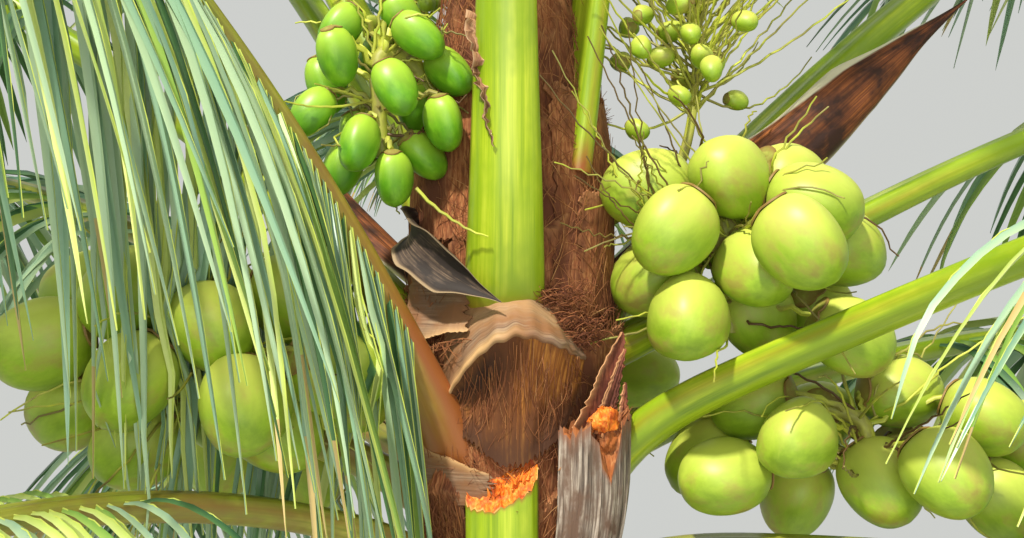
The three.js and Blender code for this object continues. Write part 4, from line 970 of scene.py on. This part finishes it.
def zigzag(start, end, bow, kinks, draw, rows):
    """Branchlets from start to end, bowed upwards in the middle and bent from side to side at each kink,
    by a drawn share of it."""
    s = np.linspace(0, 1, rows)[None, :, None]
    line = start[:, None] + (end - start)[:, None] * s
    line = line + np.array([0, 0, 1.0]) * (4 * s * (1 - s)) * bow[:, None, None]
    side, other = frames_towards(unit(end - start))
    wave = kinks * np.where(np.arange(rows) % 2 == 0, 1, -1)[None, :, None] * np.clip(6 * s * (1 - s), 0, 1)
    wave = wave * draw.uniform(0.1, 1.7, (len(start), rows, 1))
    turn = draw.uniform(0, 6.28, (len(start), 1, 1))
    return line + (side[:, None] * np.cos(turn) + other[:, None] * np.sin(turn)) * wave


# Green husk: a tough waxed skin, smooth, satin and green, with a few brown scuffs; its yellow tone
# colour is painted sunlight on the upper side of each nut
husk = plant_surface(
    "green_husk", [(0.36, "#7f9f1e"), (0.5, "#93b428"), (0.64, "#a7c238")], (60, 130), (60, "#9a9440", 0.12),
    "#d6dc62", 0.45, 0.3, Coat_Weight=0.1, Coat_Roughness=0.4,
)
# Young husk: the same skin, deeper green and tighter, with its tone colour the same painted sunlight
young_husk = plant_surface(
    "young_green_husk", [(0.34, "#4f9212"), (0.5, "#68a818"), (0.64, "#80bc22")], (30, 80),
    (40, "#5c9616", 0.25), "#aed23e", 0.42, 0.2, Coat_Weight=0.15, Coat_Roughness=0.3,
)
# Nut cap: leathery scales, green in the middle and browning to a dry rim
nut_cap = plant_surface(
    "nut_cap", [(0.35, "#8d9a34"), (0.6, "#aab350")], (12, 30), (30, "#9a8a44", 0.4), "#8a6436", 0.6, 0.4,
)
# Flower branch: green-yellow rind, browning at the bare tips
branch_rind = plant_surface(
    "branch_rind", [(0.35, "#a9b62e"), (0.6, "#d6dc52")], (10, 60), (70, "#96904a", 0.3), "#5e4426", 0.5, 0.2,
)
for bunch in BUNCHES:
    draw = draws(bunch["name"])
    middle, reach, nut = HEART + bunch["middle"], bunch["reach"][2], bunch["nut"]
    root = root_point(bunch["start"])
    crest = (root + middle) / 2
    crest[2] = max(root[2], middle[2]) + 0.35 * reach
    drop = np.array([0, 0, reach])
    line = curve_points([root, crest, middle + 0.5 * drop, middle - 0.7 * drop], 24)
    parts = [strands(line[None], np.linspace(*STEM_RADII, 24), 12, 2)]
    level = np.clip((bunch["places"][:, 2] - middle[2]) * 0.6, -0.6 * reach, 0.5 * reach)
    hubs = middle + stacked(0.0, 0.0, level)
    young = nut is YOUNG_NUT
    direction = nut_heading(hubs, bunch["places"], 0.62 if young else 0.36, draw)
    parts += nut_parts(bunch["places"], direction, nut, draw)
    toward = unit(bunch["places"] - hubs)
    cap = bunch["places"] - direction * 0.48 * nut["length"]
    holds = zigzag(hubs, cap, np.full(len(cap), 12.0), 5.0, draw, 9)
    parts.append(strands(holds, np.linspace(*HOLD_RADII, 9), 6, 2))
    count = WANDS_PER_NUT * len(hubs)
    spare = np.repeat(hubs, WANDS_PER_NUT, axis=0) + draw.normal(0, 8, (count, 3))
    out = unit(np.repeat(toward, WANDS_PER_NUT, axis=0) + draw.normal(0, 0.6, (count, 3)) + [0, 0, 0.25])
    tips = spare + out * draw.uniform(0.8, 1.35, (count, 1)) * (0.5 * bunch["reach"][0] + nut["width"])
    wands = zigzag(spare, tips, draw.uniform(-30, 70, count), 2.6, draw, 17)
    own = np.full(bunch["nuts"], 0.5 * nut["width"])
    wands[:, 3:] = pushed_off(wands, bunch["places"], own, 6.0)[:, 3:]
    fade = draw.choice([0.1, 0.5, 1.0], (count, 1, 1), p=[0.66, 0.22, 0.12])
    parts.append(strands(wands, np.linspace(*WAND_RADII, 17), 6, 2, fade))
    if bunch["name"] == "bunch_left_young":
        ends = HEART + np.array(TWIG)
        twig = zigzag(ends[:1], ends[1:], np.array([-14.0]), 3.0, draw, 13)
        parts.append(strands(twig, np.linspace(*TWIG_RADII, 13), 6, 2))
    skin = young_husk if young else husk
    slot = "young_nut" if young else "nut"
    join(bunch["name"] + "_nuts", parts, [skin, nut_cap, branch_rind], [bunch["name"]], 60)

# Flower stalks: stems that split into many thin zigzag branches. Button nuts, set by a few of the
# flowers, sit in one cluster among them, and a few long bare branches stray across the heart.
FLOWER_RADII = (14, 5)
FLOWER_BRANCH = {"radii": (3.2, 1.4), "climb": 1.0, "droop": 0.75, "reach": (1.15, 0.6), "rows": 19}
STRAYS = {"from": ((240, -210, -40), (560, -90, 130)), "to": ((40, -330, 80), (260, -230, 470)),
          "radii": (2.4, 1.3)}
BUTTON_ROOM = 66.0


def button_seats(wands, flower, draw):
    """Seats of the button nuts: for each, the point of an unused branch nearest to a place drawn in an
    egg-shaped reach round the cluster's middle, and not too near to a seat that is taken."""
    middle = HEART + flower["cluster"]
    points = wands[:, 5:16]
    free = np.ones(len(wands), bool)
    crowded = np.zeros(points.shape[:2], bool)
    seats = []
    for _ in range(flower["buttons"]):
        target = middle + unit(draw.normal(0, 1, 3)) * draw.uniform(0.2, 1) * flower["reach"]
        gap = np.linalg.norm(points - target, axis=-1) + 1e6 * (crowded | ~free[:, None])
        wand, row = np.unravel_index(np.argmin(gap), gap.shape)
        free[wand] = False
        seats.append(points[wand, row])
        crowded |= np.linalg.norm(points - seats[-1], axis=-1) < BUTTON_ROOM
    return np.array(seats)


def stray_branches(count, draw, rows=25):
    """Long bare branches that cross the heart from the right bunch to the upper left, bowed and kinked."""
    ends = [HEART + draw.uniform(*STRAYS[key], (count, 3)) for key in ("from", "to")]
    return zigzag(*ends, draw.uniform(-40, 30, count), 3.2, draw, rows)


for flower in FLOWERS:
    draw = draws(flower["name"])
    stem = curve_points(flower_corners(flower), 30, even=True)
    k = np.arange(flower["branches"])
    share = 0.5 + 0.49 * (k + 0.5) / flower["branches"]
    start = along_path(share, np.linspace(0, 1, 30), stem)
    around = flower["turn"] + k * GOLDEN_ANGLE
    climb = FLOWER_BRANCH["climb"] + draw.normal(0, 0.6, len(k))
    out = unit(stacked(np.cos(around), np.sin(around), climb))
    first, last = FLOWER_BRANCH["reach"]
    reach = flower["branch"] * (first + (last - first) * k / flower["branches"])
    reach = reach[:, None] * draw.uniform(0.6, 1.1, (len(k), 1))
    bend = start + out * reach * 0.5
    end = bend + unit(out * [1, 1, 0] + [0, 0, FLOWER_BRANCH["droop"]]) * reach * 0.5
    bow = (bend - (start + end) / 2)[:, 2]
    rows = FLOWER_BRANCH["rows"]
    wands = zigzag(start, end, bow, 3.0, draw, rows)
    fade = np.linspace(0, 1, rows)[None, :, None] ** 3 * draw.uniform(0, 0.7, (len(wands), 1, 1))
    parts = [strands(stem[None], np.linspace(*FLOWER_RADII, 30), 12, 2),
             strands(wands, np.linspace(*FLOWER_BRANCH["radii"], rows), 6, 2, fade)]
    if flower["stray"]:
        strays = stray_branches(flower["stray"], draw)
        aged = draw.choice([0.0, 0.35, 0.9], (len(strays), 1, 1), p=[0.4, 0.3, 0.3])
        parts.append(strands(strays, np.linspace(*STRAYS["radii"], strays.shape[1]), 6, 2, aged))
    hold = button_seats(wands, flower, draw)
    heading = unit(np.array([0, -0.6, 0.1]) + draw.normal(0, 0.6, hold.shape))
    size = flower["button"] * 1.05
    seat = hold + heading * size * 0.62
    parts += nut_parts(seat, nut_heading(hold, seat, 0.3, draw), {"width": size, "length": size * 1.25}, draw)
    join(flower["name"] + "_branches", parts, [husk, nut_cap, branch_rind], [flower["name"]],
         60)

# Spathes: the dry boat-shaped sheaths that the flower stalks burst from. They are woody, ribbed
# lengthwise, brown outside and paler at the split rim.


def spathe_part(spathe, rows=60, columns=72):
    """Crescent section along the path: an outer arc and an inner arc a wall inside it, swollen by
    0.24 + 0.76 sin(pi (0.9 s + 0.08)) ** 0.8, narrowed to a point, and fluted by cos(14 angle). The tone
    pales one edge of the split, more broadly at 0.7 of the length where the boat is rolled open."""
    path = curve_points(spathe_corners(spathe), rows, even=True)
    along = unit(np.gradient(path, axis=0))
    outward = path - HEART
    outward[:, 2] = 0
    side = unit(np.cross(along, unit(outward)))
    roll = np.radians(spathe["roll"])
    side = side * np.cos(roll) + np.cross(along, side) * np.sin(roll)
    share = np.linspace(0, 1, rows)[:, None]
    swell = 0.24 + 0.76 * np.sin(np.pi * np.minimum(1, share * 0.9 + 0.08)) ** 0.8
    taper = 1 - np.maximum(0, share - 0.7) / 0.3 * 0.92
    half, depth = spathe["width"] / 2 * swell * taper, spathe["depth"] * swell * taper
    wall = 0.55 * spathe["wall"] * (0.4 + 0.6 * taper)
    t = np.linspace(0, np.pi, columns // 2)
    flute = 1.4 * np.cos(14 * t) * taper
    curl = 0.07 * half * np.abs(np.cos(t)) ** 8 * ripple(share * 3, 0, 40)
    across = two_faced(np.cos(t) * half + curl, np.cos(t) * (half - 0.3 * wall) + curl)
    above = two_faced(-np.sin(t) * (depth + flute) + 0.4 * depth, -np.sin(t) * (depth - wall) + 0.4 * depth)
    points = carried(path, side, np.cross(side, along), across, above)
    angle = np.concatenate([t, t[::-1]])
    grain = stacked(60 * angle, 30.0, np.linalg.norm(path[-1] - path[0]) * share)
    lip = 0.96 - 0.32 * bump(share, 0.7, 0.2) * (spathe["roll"] > 0)
    rim = np.clip((np.cos(angle) - lip) / 0.05, 0, 1) + 0.5 * np.abs(np.cos(angle)) ** 60
    return points[None], grain[None], np.clip(rim, 0, 1)[None], 0


# Dry spathe: thin wood, ribbed and brown, with a pale split rim
spathe_wood = plant_surface(
    "dry_spathe", [(0.3, "#3a1a0c"), (0.5, "#7e4320"), (0.68, "#b56a30")], (5, 220), (70, "#381a0e", 0.35),
    "#f0e6c8", 0.72, 0.8,
)
# Weathered spathe: the same wood after rain, grey-brown to black
weathered_spathe = plant_surface(
    "weathered_spathe", [(0.3, "#1c1614"), (0.5, "#5e4c40"), (0.68, "#9c8468")], (5, 160),
    (60, "#2a201c", 0.45), "#b39a78", 0.7, 0.8,
)
for spathe in SPATHES:
    look = weathered_spathe if "dark" in spathe["name"] else spathe_wood
    join(spathe["name"] + "_boat", [spathe_part(spathe)], [look], [spathe["name"]], 60)

# Torn sheaths: broken fans of old leaf sheath. They cling to the heart at the foot, stand off it above,
# and the front one is a cowl whose rolled lip hangs over a hollow lined with fibre.
HOODS = [
    dict(name="sheath_front_left", azimuths=(-140, -117), heights=(-540, -435), stand=30, arch=10,
         flare=1.6, pale=0.2),
    dict(name="sheath_back", azimuths=(80, 106), heights=(-400, -320), stand=60, arch=50,
         flare=1.6, pale=0.6),
]
LIP_SHARE = 0.62


def hood(sheath, rows=56, columns=60):
    """Sheath with a rolled lip. Up to the lip's share it flares off the heart as w ** flare to its arched
    top edge, and from there it bends back over to the heart, a little above the edge."""
    u = np.linspace(0, 1, columns)
    v = np.linspace(0, 1, rows)[:, None]
    hump = np.sin(np.pi * u)
    azimuth = between(sheath["azimuths"], u)
    bottom, top = sheath["heights"]
    rim = top + sheath["arch"] * hump + 5 * ripple(u * 13, 0, 50)
    w = np.clip(v / LIP_SHARE, 0, 1)
    back = np.clip((v - LIP_SHARE) / (1 - LIP_SHARE), 0, 1)
    fold = bump(v, LIP_SHARE, 0.05)
    z = between((bottom, rim), w) + (20 + 26 * hump) * np.sin(back * np.pi / 2)
    stand = sheath["stand"] * (0.25 + 0.75 * hump) * (w ** sheath["flare"] * (1 - back**1.2))
    distance = heart_radius(z) + 9 + stand + 2.5 * ripple(u * 6, v * 6, 51) + 5 * fold
    points = two_faced(crown_point(azimuth, distance + 7.0, z), crown_point(azimuth, distance, z))
    flat = stacked(np.radians(azimuth) * 250, 0.0, z)
    pale = sheath["pale"] * fold * (1 - 0.6 * u) + 0.25 * w * (back == 0)
    quads = np.repeat((np.arange(rows - 1) > 0.58 * rows).astype(int), 2 * columns)
    look = np.concatenate([quads, np.repeat([0, 1], columns - 1)]) * (sheath["pale"] > 0.3)
    tone = np.concatenate([pale] * 2, axis=1)
    return points[None], two_faced(flat, flat)[None], tone[None], look[None]


def hood_fibres(sheath, count, draw):
    """Fibres over the hood's hollow, fanning down from its arch to the foot."""
    share = np.linspace(0, 1, 7)
    u = draw.uniform(0.06, 0.94, (count, 1))
    drift = draw.normal(0, 0.14, (count, 1)) + 0.25 * (u - 0.5)
    first = draw.uniform(0.15, 1, (count, 1))
    v = first * (1 - share * draw.uniform(0.4, 1.0, (count, 1)))
    side = np.clip(u + drift * share, 0.02, 0.98)
    hump = np.sin(np.pi * side)
    bottom, top = sheath["heights"]
    z = between((bottom, top + sheath["arch"] * hump), v)
    stand = sheath["stand"] * (0.25 + 0.75 * hump) * v ** sheath["flare"]
    off = 18 + draw.exponential(5, (count, 1)) * (4 * share * (1 - share) + 0.3)
    return crown_point(between(sheath["azimuths"], side), heart_radius(z) + stand + off, z)


# The front sheath's lip over its width: azimuth, height, how far it stands off, and how fast its hollow
# falls back under it
COWL = np.array([
    [-128, -268, 12, 5], [-119, -222, 30, 5], [-112, -192, 50, 5], [-104, -152, 70, 4.5],
    [-96, -120, 84, 3.2], [-88, -108, 90, 2.4], [-80, -114, 86, 2.0], [-72, -130, 72, 1.8],
    [-62, -150, 46, 1.6], [-52, -166, 14, 1.5],
], float)
# Azimuths and heights of the cowl's upper edge, and of its foot
COWL_TOP = ([-130, -84, -74, -64, -52], [-26, -30, -56, -98, -140])
COWL_FOOT = ([-130, -112, -96, -84, -66, -52], [-282, -330, -376, -374, -330, -236])


def cowl_lip(azimuth):
    """Height, stand and fall of the lip at azimuths, read off the table."""
    return (np.interp(azimuth, COWL[:, 0], COWL[:, k]) for k in (1, 2, 3))


def softened(values):
    """Running mean over 15 columns, weighted by a raised cosine."""
    kernel = np.hanning(15) / np.hanning(15).sum()
    return np.convolve(np.pad(values, 7, mode="edge"), kernel, "valid")


def cowl(columns=120, above=26, lip=8, below=40):
    """Smooth sheath that slopes out from the heart to a rolled lip as s ** 0.85, with fine lines along
    the lip. Under the lip it falls back as (1 - w) ** fall into a hollow. The grain runs along the lip
    above and down into the hollow below, and the tone pales the lip and paints shade into the hollow's
    corner and its lower part."""
    azimuth = np.linspace(COWL[0, 0], COWL[-1, 0], columns)
    height, edge, fall = (softened(values) for values in cowl_lip(azimuth))
    height = height + 2.0 * ripple(azimuth / 12, 0, 50)
    top = softened(np.interp(azimuth, *COWL_TOP)) + 3 * ripple(azimuth / 14, 0, 53)
    s = np.linspace(0, 1, above)[:, None]
    lines = 1.1 * np.sin(34 * s + 2.5 * ripple(azimuth / 16, 0, 51)) * s * (1 - s) * 4
    folds = 3.2 * ripple(azimuth / 24, s * 2.2, 52) * s
    upper = (between((top, height), s), 2 + (edge - 2) * s**0.85 + lines + folds)
    turn = np.linspace(0.15, 1, lip)[:, None] * np.pi
    roll = 5 + 0.05 * edge
    rolled = (height - roll * (1 - np.cos(turn)), edge + folds[-1] + roll * np.sin(turn))
    w = np.linspace(0.02, 1, below)[:, None] ** 1.4
    foot = softened(np.interp(azimuth, *COWL_FOOT)) + 7 * ripple(azimuth / 5, 0, 55)
    floor = 4 + 10 * w + 5 * ripple(azimuth / 20, w * 3, 54) * np.sin(np.pi * w)
    lower = (between((rolled[0][-1], foot), w), floor + (edge + folds[-1] - floor) * (1 - w) ** fall)
    z, stand = (np.concatenate(group) for group in zip(upper, rolled, lower))
    distance = heart_radius(z) + stand + 4
    outer, inner = crown_point(azimuth, distance + 3.5, z), crown_point(azimuth, distance, z)
    run = np.concatenate([s * 150, 150 + turn * 8, 180 + w * 230])
    around = np.radians(azimuth) * 250
    grain = np.where((run < 175)[..., None], stacked(run, 0.0, around), stacked(around, 30.0, run))
    points, grain = (two_faced(*faces)[::-1, ::-1] for faces in ((outer, inner), (grain, grain)))
    pale = bump(run, 160, 16) * np.clip((-84 - azimuth) / 20, 0, 0.9) + 0.35 * bump(run, 60, 40)
    # Painted shade: the tone darkens the hollow's left corner and its lower part, where the lip shades it
    corner = bump(run, 225, 60) * np.clip((-86 - azimuth) / 14, 0, 1)
    deep = (run > 180) * np.clip(0.85 * corner + 0.6 * np.clip((run - 300) / 90, 0, 1), 0, 0.85)
    tone = np.concatenate([pale + deep] * 2, axis=1)[::-1, ::-1]
    quads = np.repeat((np.arange(above + lip + below - 1)[::-1] > above + lip - 2).astype(int), 2 * columns)
    look = np.concatenate([1 + 2 * quads, np.full(columns - 1, 3), np.ones(columns - 1, int)])
    return points[None], grain[None], tone[None], look[None]


def cowl_fibres(count, draw):
    """Fibres that fan over the hollow from under the lip down to both sides, and lie slack across it."""
    share = np.linspace(0, 1, 9)
    first = draw.uniform(-116, -58, (count, 1))
    drift = (first + 88) * draw.uniform(-0.1, 0.45, (count, 1))
    azimuth = first + drift * share + draw.normal(0, 5, (count, 1)) * share**2
    height, edge, fall = cowl_lip(azimuth)
    w = np.clip(draw.uniform(0.0, 0.55, (count, 1)) + share * draw.uniform(0.2, 0.6, (count, 1)), 0, 1)
    z = height - 12 + (np.interp(azimuth, *COWL_FOOT) - height) * w
    stand = 10 + edge * (1 - w) ** fall + draw.exponential(5, (count, 1)) * np.sin(np.pi * share)
    return crown_point(azimuth, heart_radius(z) + stand + 3, z)


def clump(count, draw, azimuths=(-64, -46), heights=(-150, -96), reach=(30, 80)):
    """Dark curled fibres beside the lip, wound as small loops: sin and cos of 7 * share + phase."""
    share = np.linspace(0, 1, 12)
    azimuth, height = draw.uniform(*azimuths, (count, 1)), draw.uniform(*heights, (count, 1))
    size, phase = draw.uniform(*reach, (count, 1)), draw.uniform(0, 6.28, (count, 1))
    way = draw.uniform(-0.6, 0.9, (count, 1))
    z = height + size * 0.5 * share * way + 7 * np.sin(7 * share + phase)
    across = size * share * draw.choice([-1, 1], (count, 1)) + 7 * np.cos(7 * share + phase)
    sweep = np.degrees(across / 240)
    out = 14 + draw.uniform(0, 26, (count, 1)) + 10 * np.sin(5 * share + phase)
    return crown_point(azimuth + sweep, heart_radius(z) + out, z)


# Lining of the front sheath: golden-brown, smooth and fibrous, with painted shade where it lies deep
lining = plant_surface(
    "sheath_lining", [(0.32, "#5a3112"), (0.5, "#95581f"), (0.66, "#c8893c")], (4, 120), (80, "#6e3e1a", 0.3),
    "#1c0f0a", 0.8, 1.0,
)
SHEATH_LOOKS = [fibre, sheath_skin, strand, lining]
draw = draws("sheath_front")
parts = [cowl(), strands(cowl_fibres(210, draw), np.linspace(0.8, 0.4, 9), 4, 2),
         strands(clump(150, draw), 0.9),
         strands(clump(70, draw, azimuths=(-86, -58), heights=(-74, -36)), 0.8)]
join("sheath_front_hood", parts, SHEATH_LOOKS, ["sheath_front"], 60)
for sheath in HOODS:
    hung = hood_fibres(sheath, 200, draws(sheath["name"]))
    parts = [hood(sheath), strands(hung, np.linspace(1.0, 0.6, 7), 4, 2)]
    join(sheath["name"] + "_hood", parts, SHEATH_LOOKS, [sheath["name"]], 60)

# Stubs: the feet of cut or broken old stalks. Fresh cuts are wet orange pulp, and a weathered stub is
# grey, split lengthwise and torn into a spike and splinters.
STUB_DEPTH = 66.0
BREAK = 0.69
END_RINGS = 18


def stub_part(stub, top, rows=66, columns=72, rough=0.6, notch=0.0, sunk=10.0, lumps=4.0):
    """Stalk section carried up to share top. Its end runs back inward as torn flesh: the rim stands at
    slant * across + slope * above + torn * ripple, less a notch in front, and the flesh lies sunk below
    it by sunk * (1 - inward ** 2), in lumps."""
    body = rows - END_RINGS
    share = np.concatenate([np.linspace(0, top, body), np.full(END_RINGS, top)])
    inward = np.concatenate([np.ones(body), np.linspace(0.97, 0.03, END_RINGS)])[:, None]
    point, along, side, up = stub_frame(stub, share)
    width = stub["width"] * (0.76 + 0.24 * np.minimum(1, share * 2))[:, None] * inward
    depth = STUB_DEPTH * inward
    t = round_angles(columns)
    rise, fall = np.clip(np.sin(t), 0, 1), np.clip(-np.sin(t), 0, 1)
    share = share[:, None]
    across = 0.5 * width * np.cos(t) + rough * ripple(t * 4, share * 3, 60) * inward
    above = depth * (0.42 * rise**0.7 - 0.58 * fall**0.85) + rough * ripple(t * 6, share * 4, 61) * inward
    jag = stub["torn"] * (0.5 * ripple(t * 2, 0, 62) + 0.5 * ripple(t * 6, 0, 63))
    cleft = notch * bump(t, 1.53 * np.pi, 0.3) * np.clip(inward * 1.6 - 0.6, 0, 1)
    reach = np.clip((share / top - 0.6) / 0.4, 0, 1)
    torn = lumps * ripple(t * 2, inward * 7, 64) * (inward < 1)
    end = reach * (across * stub["slant"] + above * stub["slope"] + jag * inward**3 - cleft)
    end = end - sunk * (1 - inward**2) + torn
    points = carried(point, side, up, across, above) + along[:, None] * end[..., None]
    grain = stacked(across, above, share * stub["length"] + end)
    ends = np.repeat([0, 1], columns // 2 - 1)
    look = np.concatenate([np.repeat((np.arange(rows - 1) >= body - 1).astype(int), columns), ends])
    return points[None], grain[None], 0.8 * (bump(share, top, 0.03) * (inward == 1)), look[None]


def shard(stub, low, high, middle, width, lean, curl, seed, rows=40, columns=24, look=0):
    """Strip of the torn stalk that still stands, from share low to high of the stub: its width falls as
    (1 - v) ** 0.7, it leans aside by lean * v, and it is hollow in front and ragged along its edges."""
    v = np.linspace(0, 1, rows)[:, None]
    point, _, side, up = stub_frame(dict(stub, lean=0), low + (high - low) * v[:, 0])
    t = round_angles(columns)
    half = 0.5 * width * ((1 - v) ** 0.7 * (1 + 0.12 * ripple(v * 14, 0, seed)) + 0.04)
    edge = np.sign(np.cos(t)) * np.abs(np.cos(t)) ** 0.8
    across = middle + lean * v**1.2 + half * edge + 2.0 * np.abs(edge) * ripple(v * 11, edge, seed + 1)
    above = curl * (1 - edge**2) * (1 - 0.5 * v) + (5.5 - 3.5 * v) * np.sin(t)
    above = above + 1.8 * ripple(edge * 6, v * 5, seed + 2)
    points = carried(point, side, up, across, above)
    return points[None], stacked(across, above, v * 300)[None], 0.95 * np.clip(-edge * 1.8 - 0.7, 0, 1), look


def lump(stub, share, middle, front, size, seed, look=0, rows=22, columns=28):
    """Knot of pulp on the stub's end: a ball of size across, deep and tall, made rough by
    1 + 0.16 * ripple."""
    point, along, side, up = (value[0] for value in stub_frame(dict(stub, lean=0), [share]))
    v = np.linspace(0.03, 0.97, rows)[:, None] * np.pi
    t = round_angles(columns)
    rough = 1 + 0.16 * ripple(t, v * 5, seed) + 0.08 * ripple(t * 3, v * 11, seed + 1)
    across = 0.5 * size[0] * np.sin(v) * np.cos(t) * rough
    above = 0.5 * size[1] * np.sin(v) * np.sin(t) * rough
    end = -0.5 * size[2] * np.cos(v) * rough
    points = carried(point + side * middle - up * front, side, up, across, above) + along * end[..., None]
    return points[None], stacked(across, above, end)[None], 0.0, look


def splinters(stub, share, count, reach, draw, look=0, tone=0.6, inner=0.9):
    """Thin shards round a broken end, each standing up along the stub and leaning outwards."""
    point, along, side, up = (value[0] for value in stub_frame(stub, [share]))
    t = draw.uniform(0, 2 * np.pi, count)
    foot = inner * draw.uniform(0.6, 1, count)
    across, above = 0.5 * stub["width"] * np.cos(t) * foot, 0.4 * STUB_DEPTH * np.sin(t) * foot
    start = carried(point, side, up, across, above)
    start = start - along * 12 + along * (stub["slant"] * 0.5 * stub["width"] * np.cos(t))[:, None]
    out = unit(carried(along, side, up, 0.25 * np.cos(t) + draw.normal(0, 0.2, count), 0.2 * np.sin(t)))
    size = draw.uniform(*reach, (count, 1, 1))
    s = np.linspace(0, 1, 7)[None, :, None]
    bend = draw.normal(0, 0.25, (count, 1, 1))
    paths = start[:, None] + out[:, None] * size * s + side * bend * size * s**2
    return strands(paths, draw.uniform(1.6, 4.5, (count, 1)) * np.linspace(1, 0.12, 7), 6, look, tone)


# Fresh pulp: wet orange fibre, brighter in the middle
pulp = plant_surface(
    "torn_pulp", [(0.34, "#dc5a0e"), (0.5, "#f9861c"), (0.66, "#ffb04a")], (5, 14), (22, "#b4480f", 0.2),
    "#ffc878", 0.6, 3.0,
)
# Weathered stub: grey dry wood, split along its fibres
grey_wood = plant_surface(
    "weathered_stub", [(0.36, "#3a302a"), (0.5, "#86776b"), (0.62, "#bfb1a2")], (5, 130),
    (40, "#6e5546", 0.2), "#8a5a40", 0.88, 2.5,
)
# Dry pulp: the same flesh gone brown and hard
dry_pulp = plant_surface(
    "dry_pulp", [(0.34, "#4f2a18"), (0.5, "#905530"), (0.66, "#c98c58")], (5, 30), (34, "#a35a24", 0.3),
    "#a86a40", 0.85, 3.0,
)
# Torn strips: red-brown inner wood, paler where it curls over
red_wood = plant_surface(
    "torn_strip", [(0.32, "#4a2216"), (0.5, "#8a4a34"), (0.66, "#b06a4c")], (5, 90), (40, "#5c2c1e", 0.35),
    "#cf9a6c", 0.8, 2.0,
)
for stub in STUBS:
    draw = draws(stub["name"])
    looks, slot = [grey_wood, dry_pulp, pulp, red_wood], "dead_stalk"
    if stub["name"] == "stub_green_cut":
        looks, slot = [stalk_green, pulp], "cut_stalk"
        parts = [stub_part(stub, 1.0, lumps=5.0, sunk=6.0),
                 splinters(stub, 1.0, 40, (8, 22), draw, look=1, tone=0.0)]
    elif stub["name"] == "stub_grey_broken":
        parts = [stub_part(stub, BREAK, rough=2.8, notch=110.0, sunk=30.0, lumps=10.0),
                 lump(stub, BREAK + 0.015, 4.0, 24.0, (62, 34, 46), 95, look=2),
                 lump(stub, BREAK - 0.05, 14.0, 22.0, (40, 26, 44), 97, look=1),
                 shard(stub, BREAK - 0.14, 0.985, -24.0, 118.0, 92.0, 16.0, 80, look=3),
                 shard(stub, BREAK - 0.12, 0.93, -2.0, 56.0, 74.0, 4.0, 84, look=3),
                 shard(stub, BREAK - 0.1, 0.82, 60.0, 34.0, 14.0, 2.0, 92, look=3),
                 splinters(stub, BREAK, 34, (10, 34), draw, look=1, tone=0.9),
                 splinters(stub, BREAK + 0.01, 22, (6, 16), draw, look=2, tone=0.1, inner=0.42)]
    else:
        looks = looks[:3]
        parts = [stub_part(stub, 1.0, rough=2.0, sunk=20.0, lumps=6.0),
                 splinters(stub, 1.0, 24, (10, 40), draw, look=1)]
    join(stub["name"] + "_stump", parts, looks, [stub["name"]], 50)

# Setting: a pale round floor, soft daylight from a bright sky and one high sun, and the photograph's view
FLOOR_RADIUS = 9.0
CAMERA_DISTANCE = 3.2
LENS = 55.0
bpy.ops.mesh.primitive_cylinder_add(vertices=96, radius=FLOOR_RADIUS, depth=0.02, location=(0, 0, -0.0105))
floor = bpy.context.object
floor.name = "floor"
floor_paint = bpy.data.materials.new("pale_floor")
floor_paint.use_nodes = True
floor_paint.node_tree.nodes["Principled BSDF"].inputs["Base Color"].default_value = linear("#b4b2aa")
floor_paint.node_tree.nodes["Principled BSDF"].inputs["Roughness"].default_value = 0.8
floor.data.materials.append(floor_paint)

world = bpy.data.worlds.new("soft_sky")
world.use_nodes = True
world.node_tree.nodes["Background"].inputs["Color"].default_value = linear("#f4f6f2")
world.node_tree.nodes["Background"].inputs["Strength"].default_value = 0.68
bpy.context.scene.world = world


def light(name, kind, place, target, energy, **settings):
    """A lamp at a place in metres, turned to a target by atan2(run, -rise) and atan2(x, -y) + pi."""
    lamp = bpy.data.lights.new(name, kind)
    lamp.energy = energy
    for key, value in settings.items():
        setattr(lamp, key, value)
    made = bpy.data.objects.new(name, lamp)
    made.location = place
    x, y, rise = np.array(target) - np.array(place)
    made.rotation_euler = (np.arctan2(np.hypot(x, y), -rise), 0, np.arctan2(x, -y) + np.pi)
    bpy.context.scene.collection.objects.link(made)


heart_place = tuple(HEART / 1000)
light("sun", "SUN", (-2.5, -5.5, 10), heart_place, 4.5, angle=0.06, color=(1.0, 0.95, 0.84))
light("front_fill", "AREA", (0.5, -6.5, 3.0), heart_place, 110, size=4.0)

camera = bpy.data.objects.new("camera", bpy.data.cameras.new("camera"))
camera.data.lens = LENS
camera.data.sensor_width = 36.0
camera.location = (heart_place[0], heart_place[1] - CAMERA_DISTANCE, heart_place[2])
camera.rotation_euler = (np.pi / 2, 0, 0)
bpy.context.scene.collection.objects.link(camera)
bpy.context.scene.camera = camera
bpy.context.scene.view_settings.view_transform = "Standard"
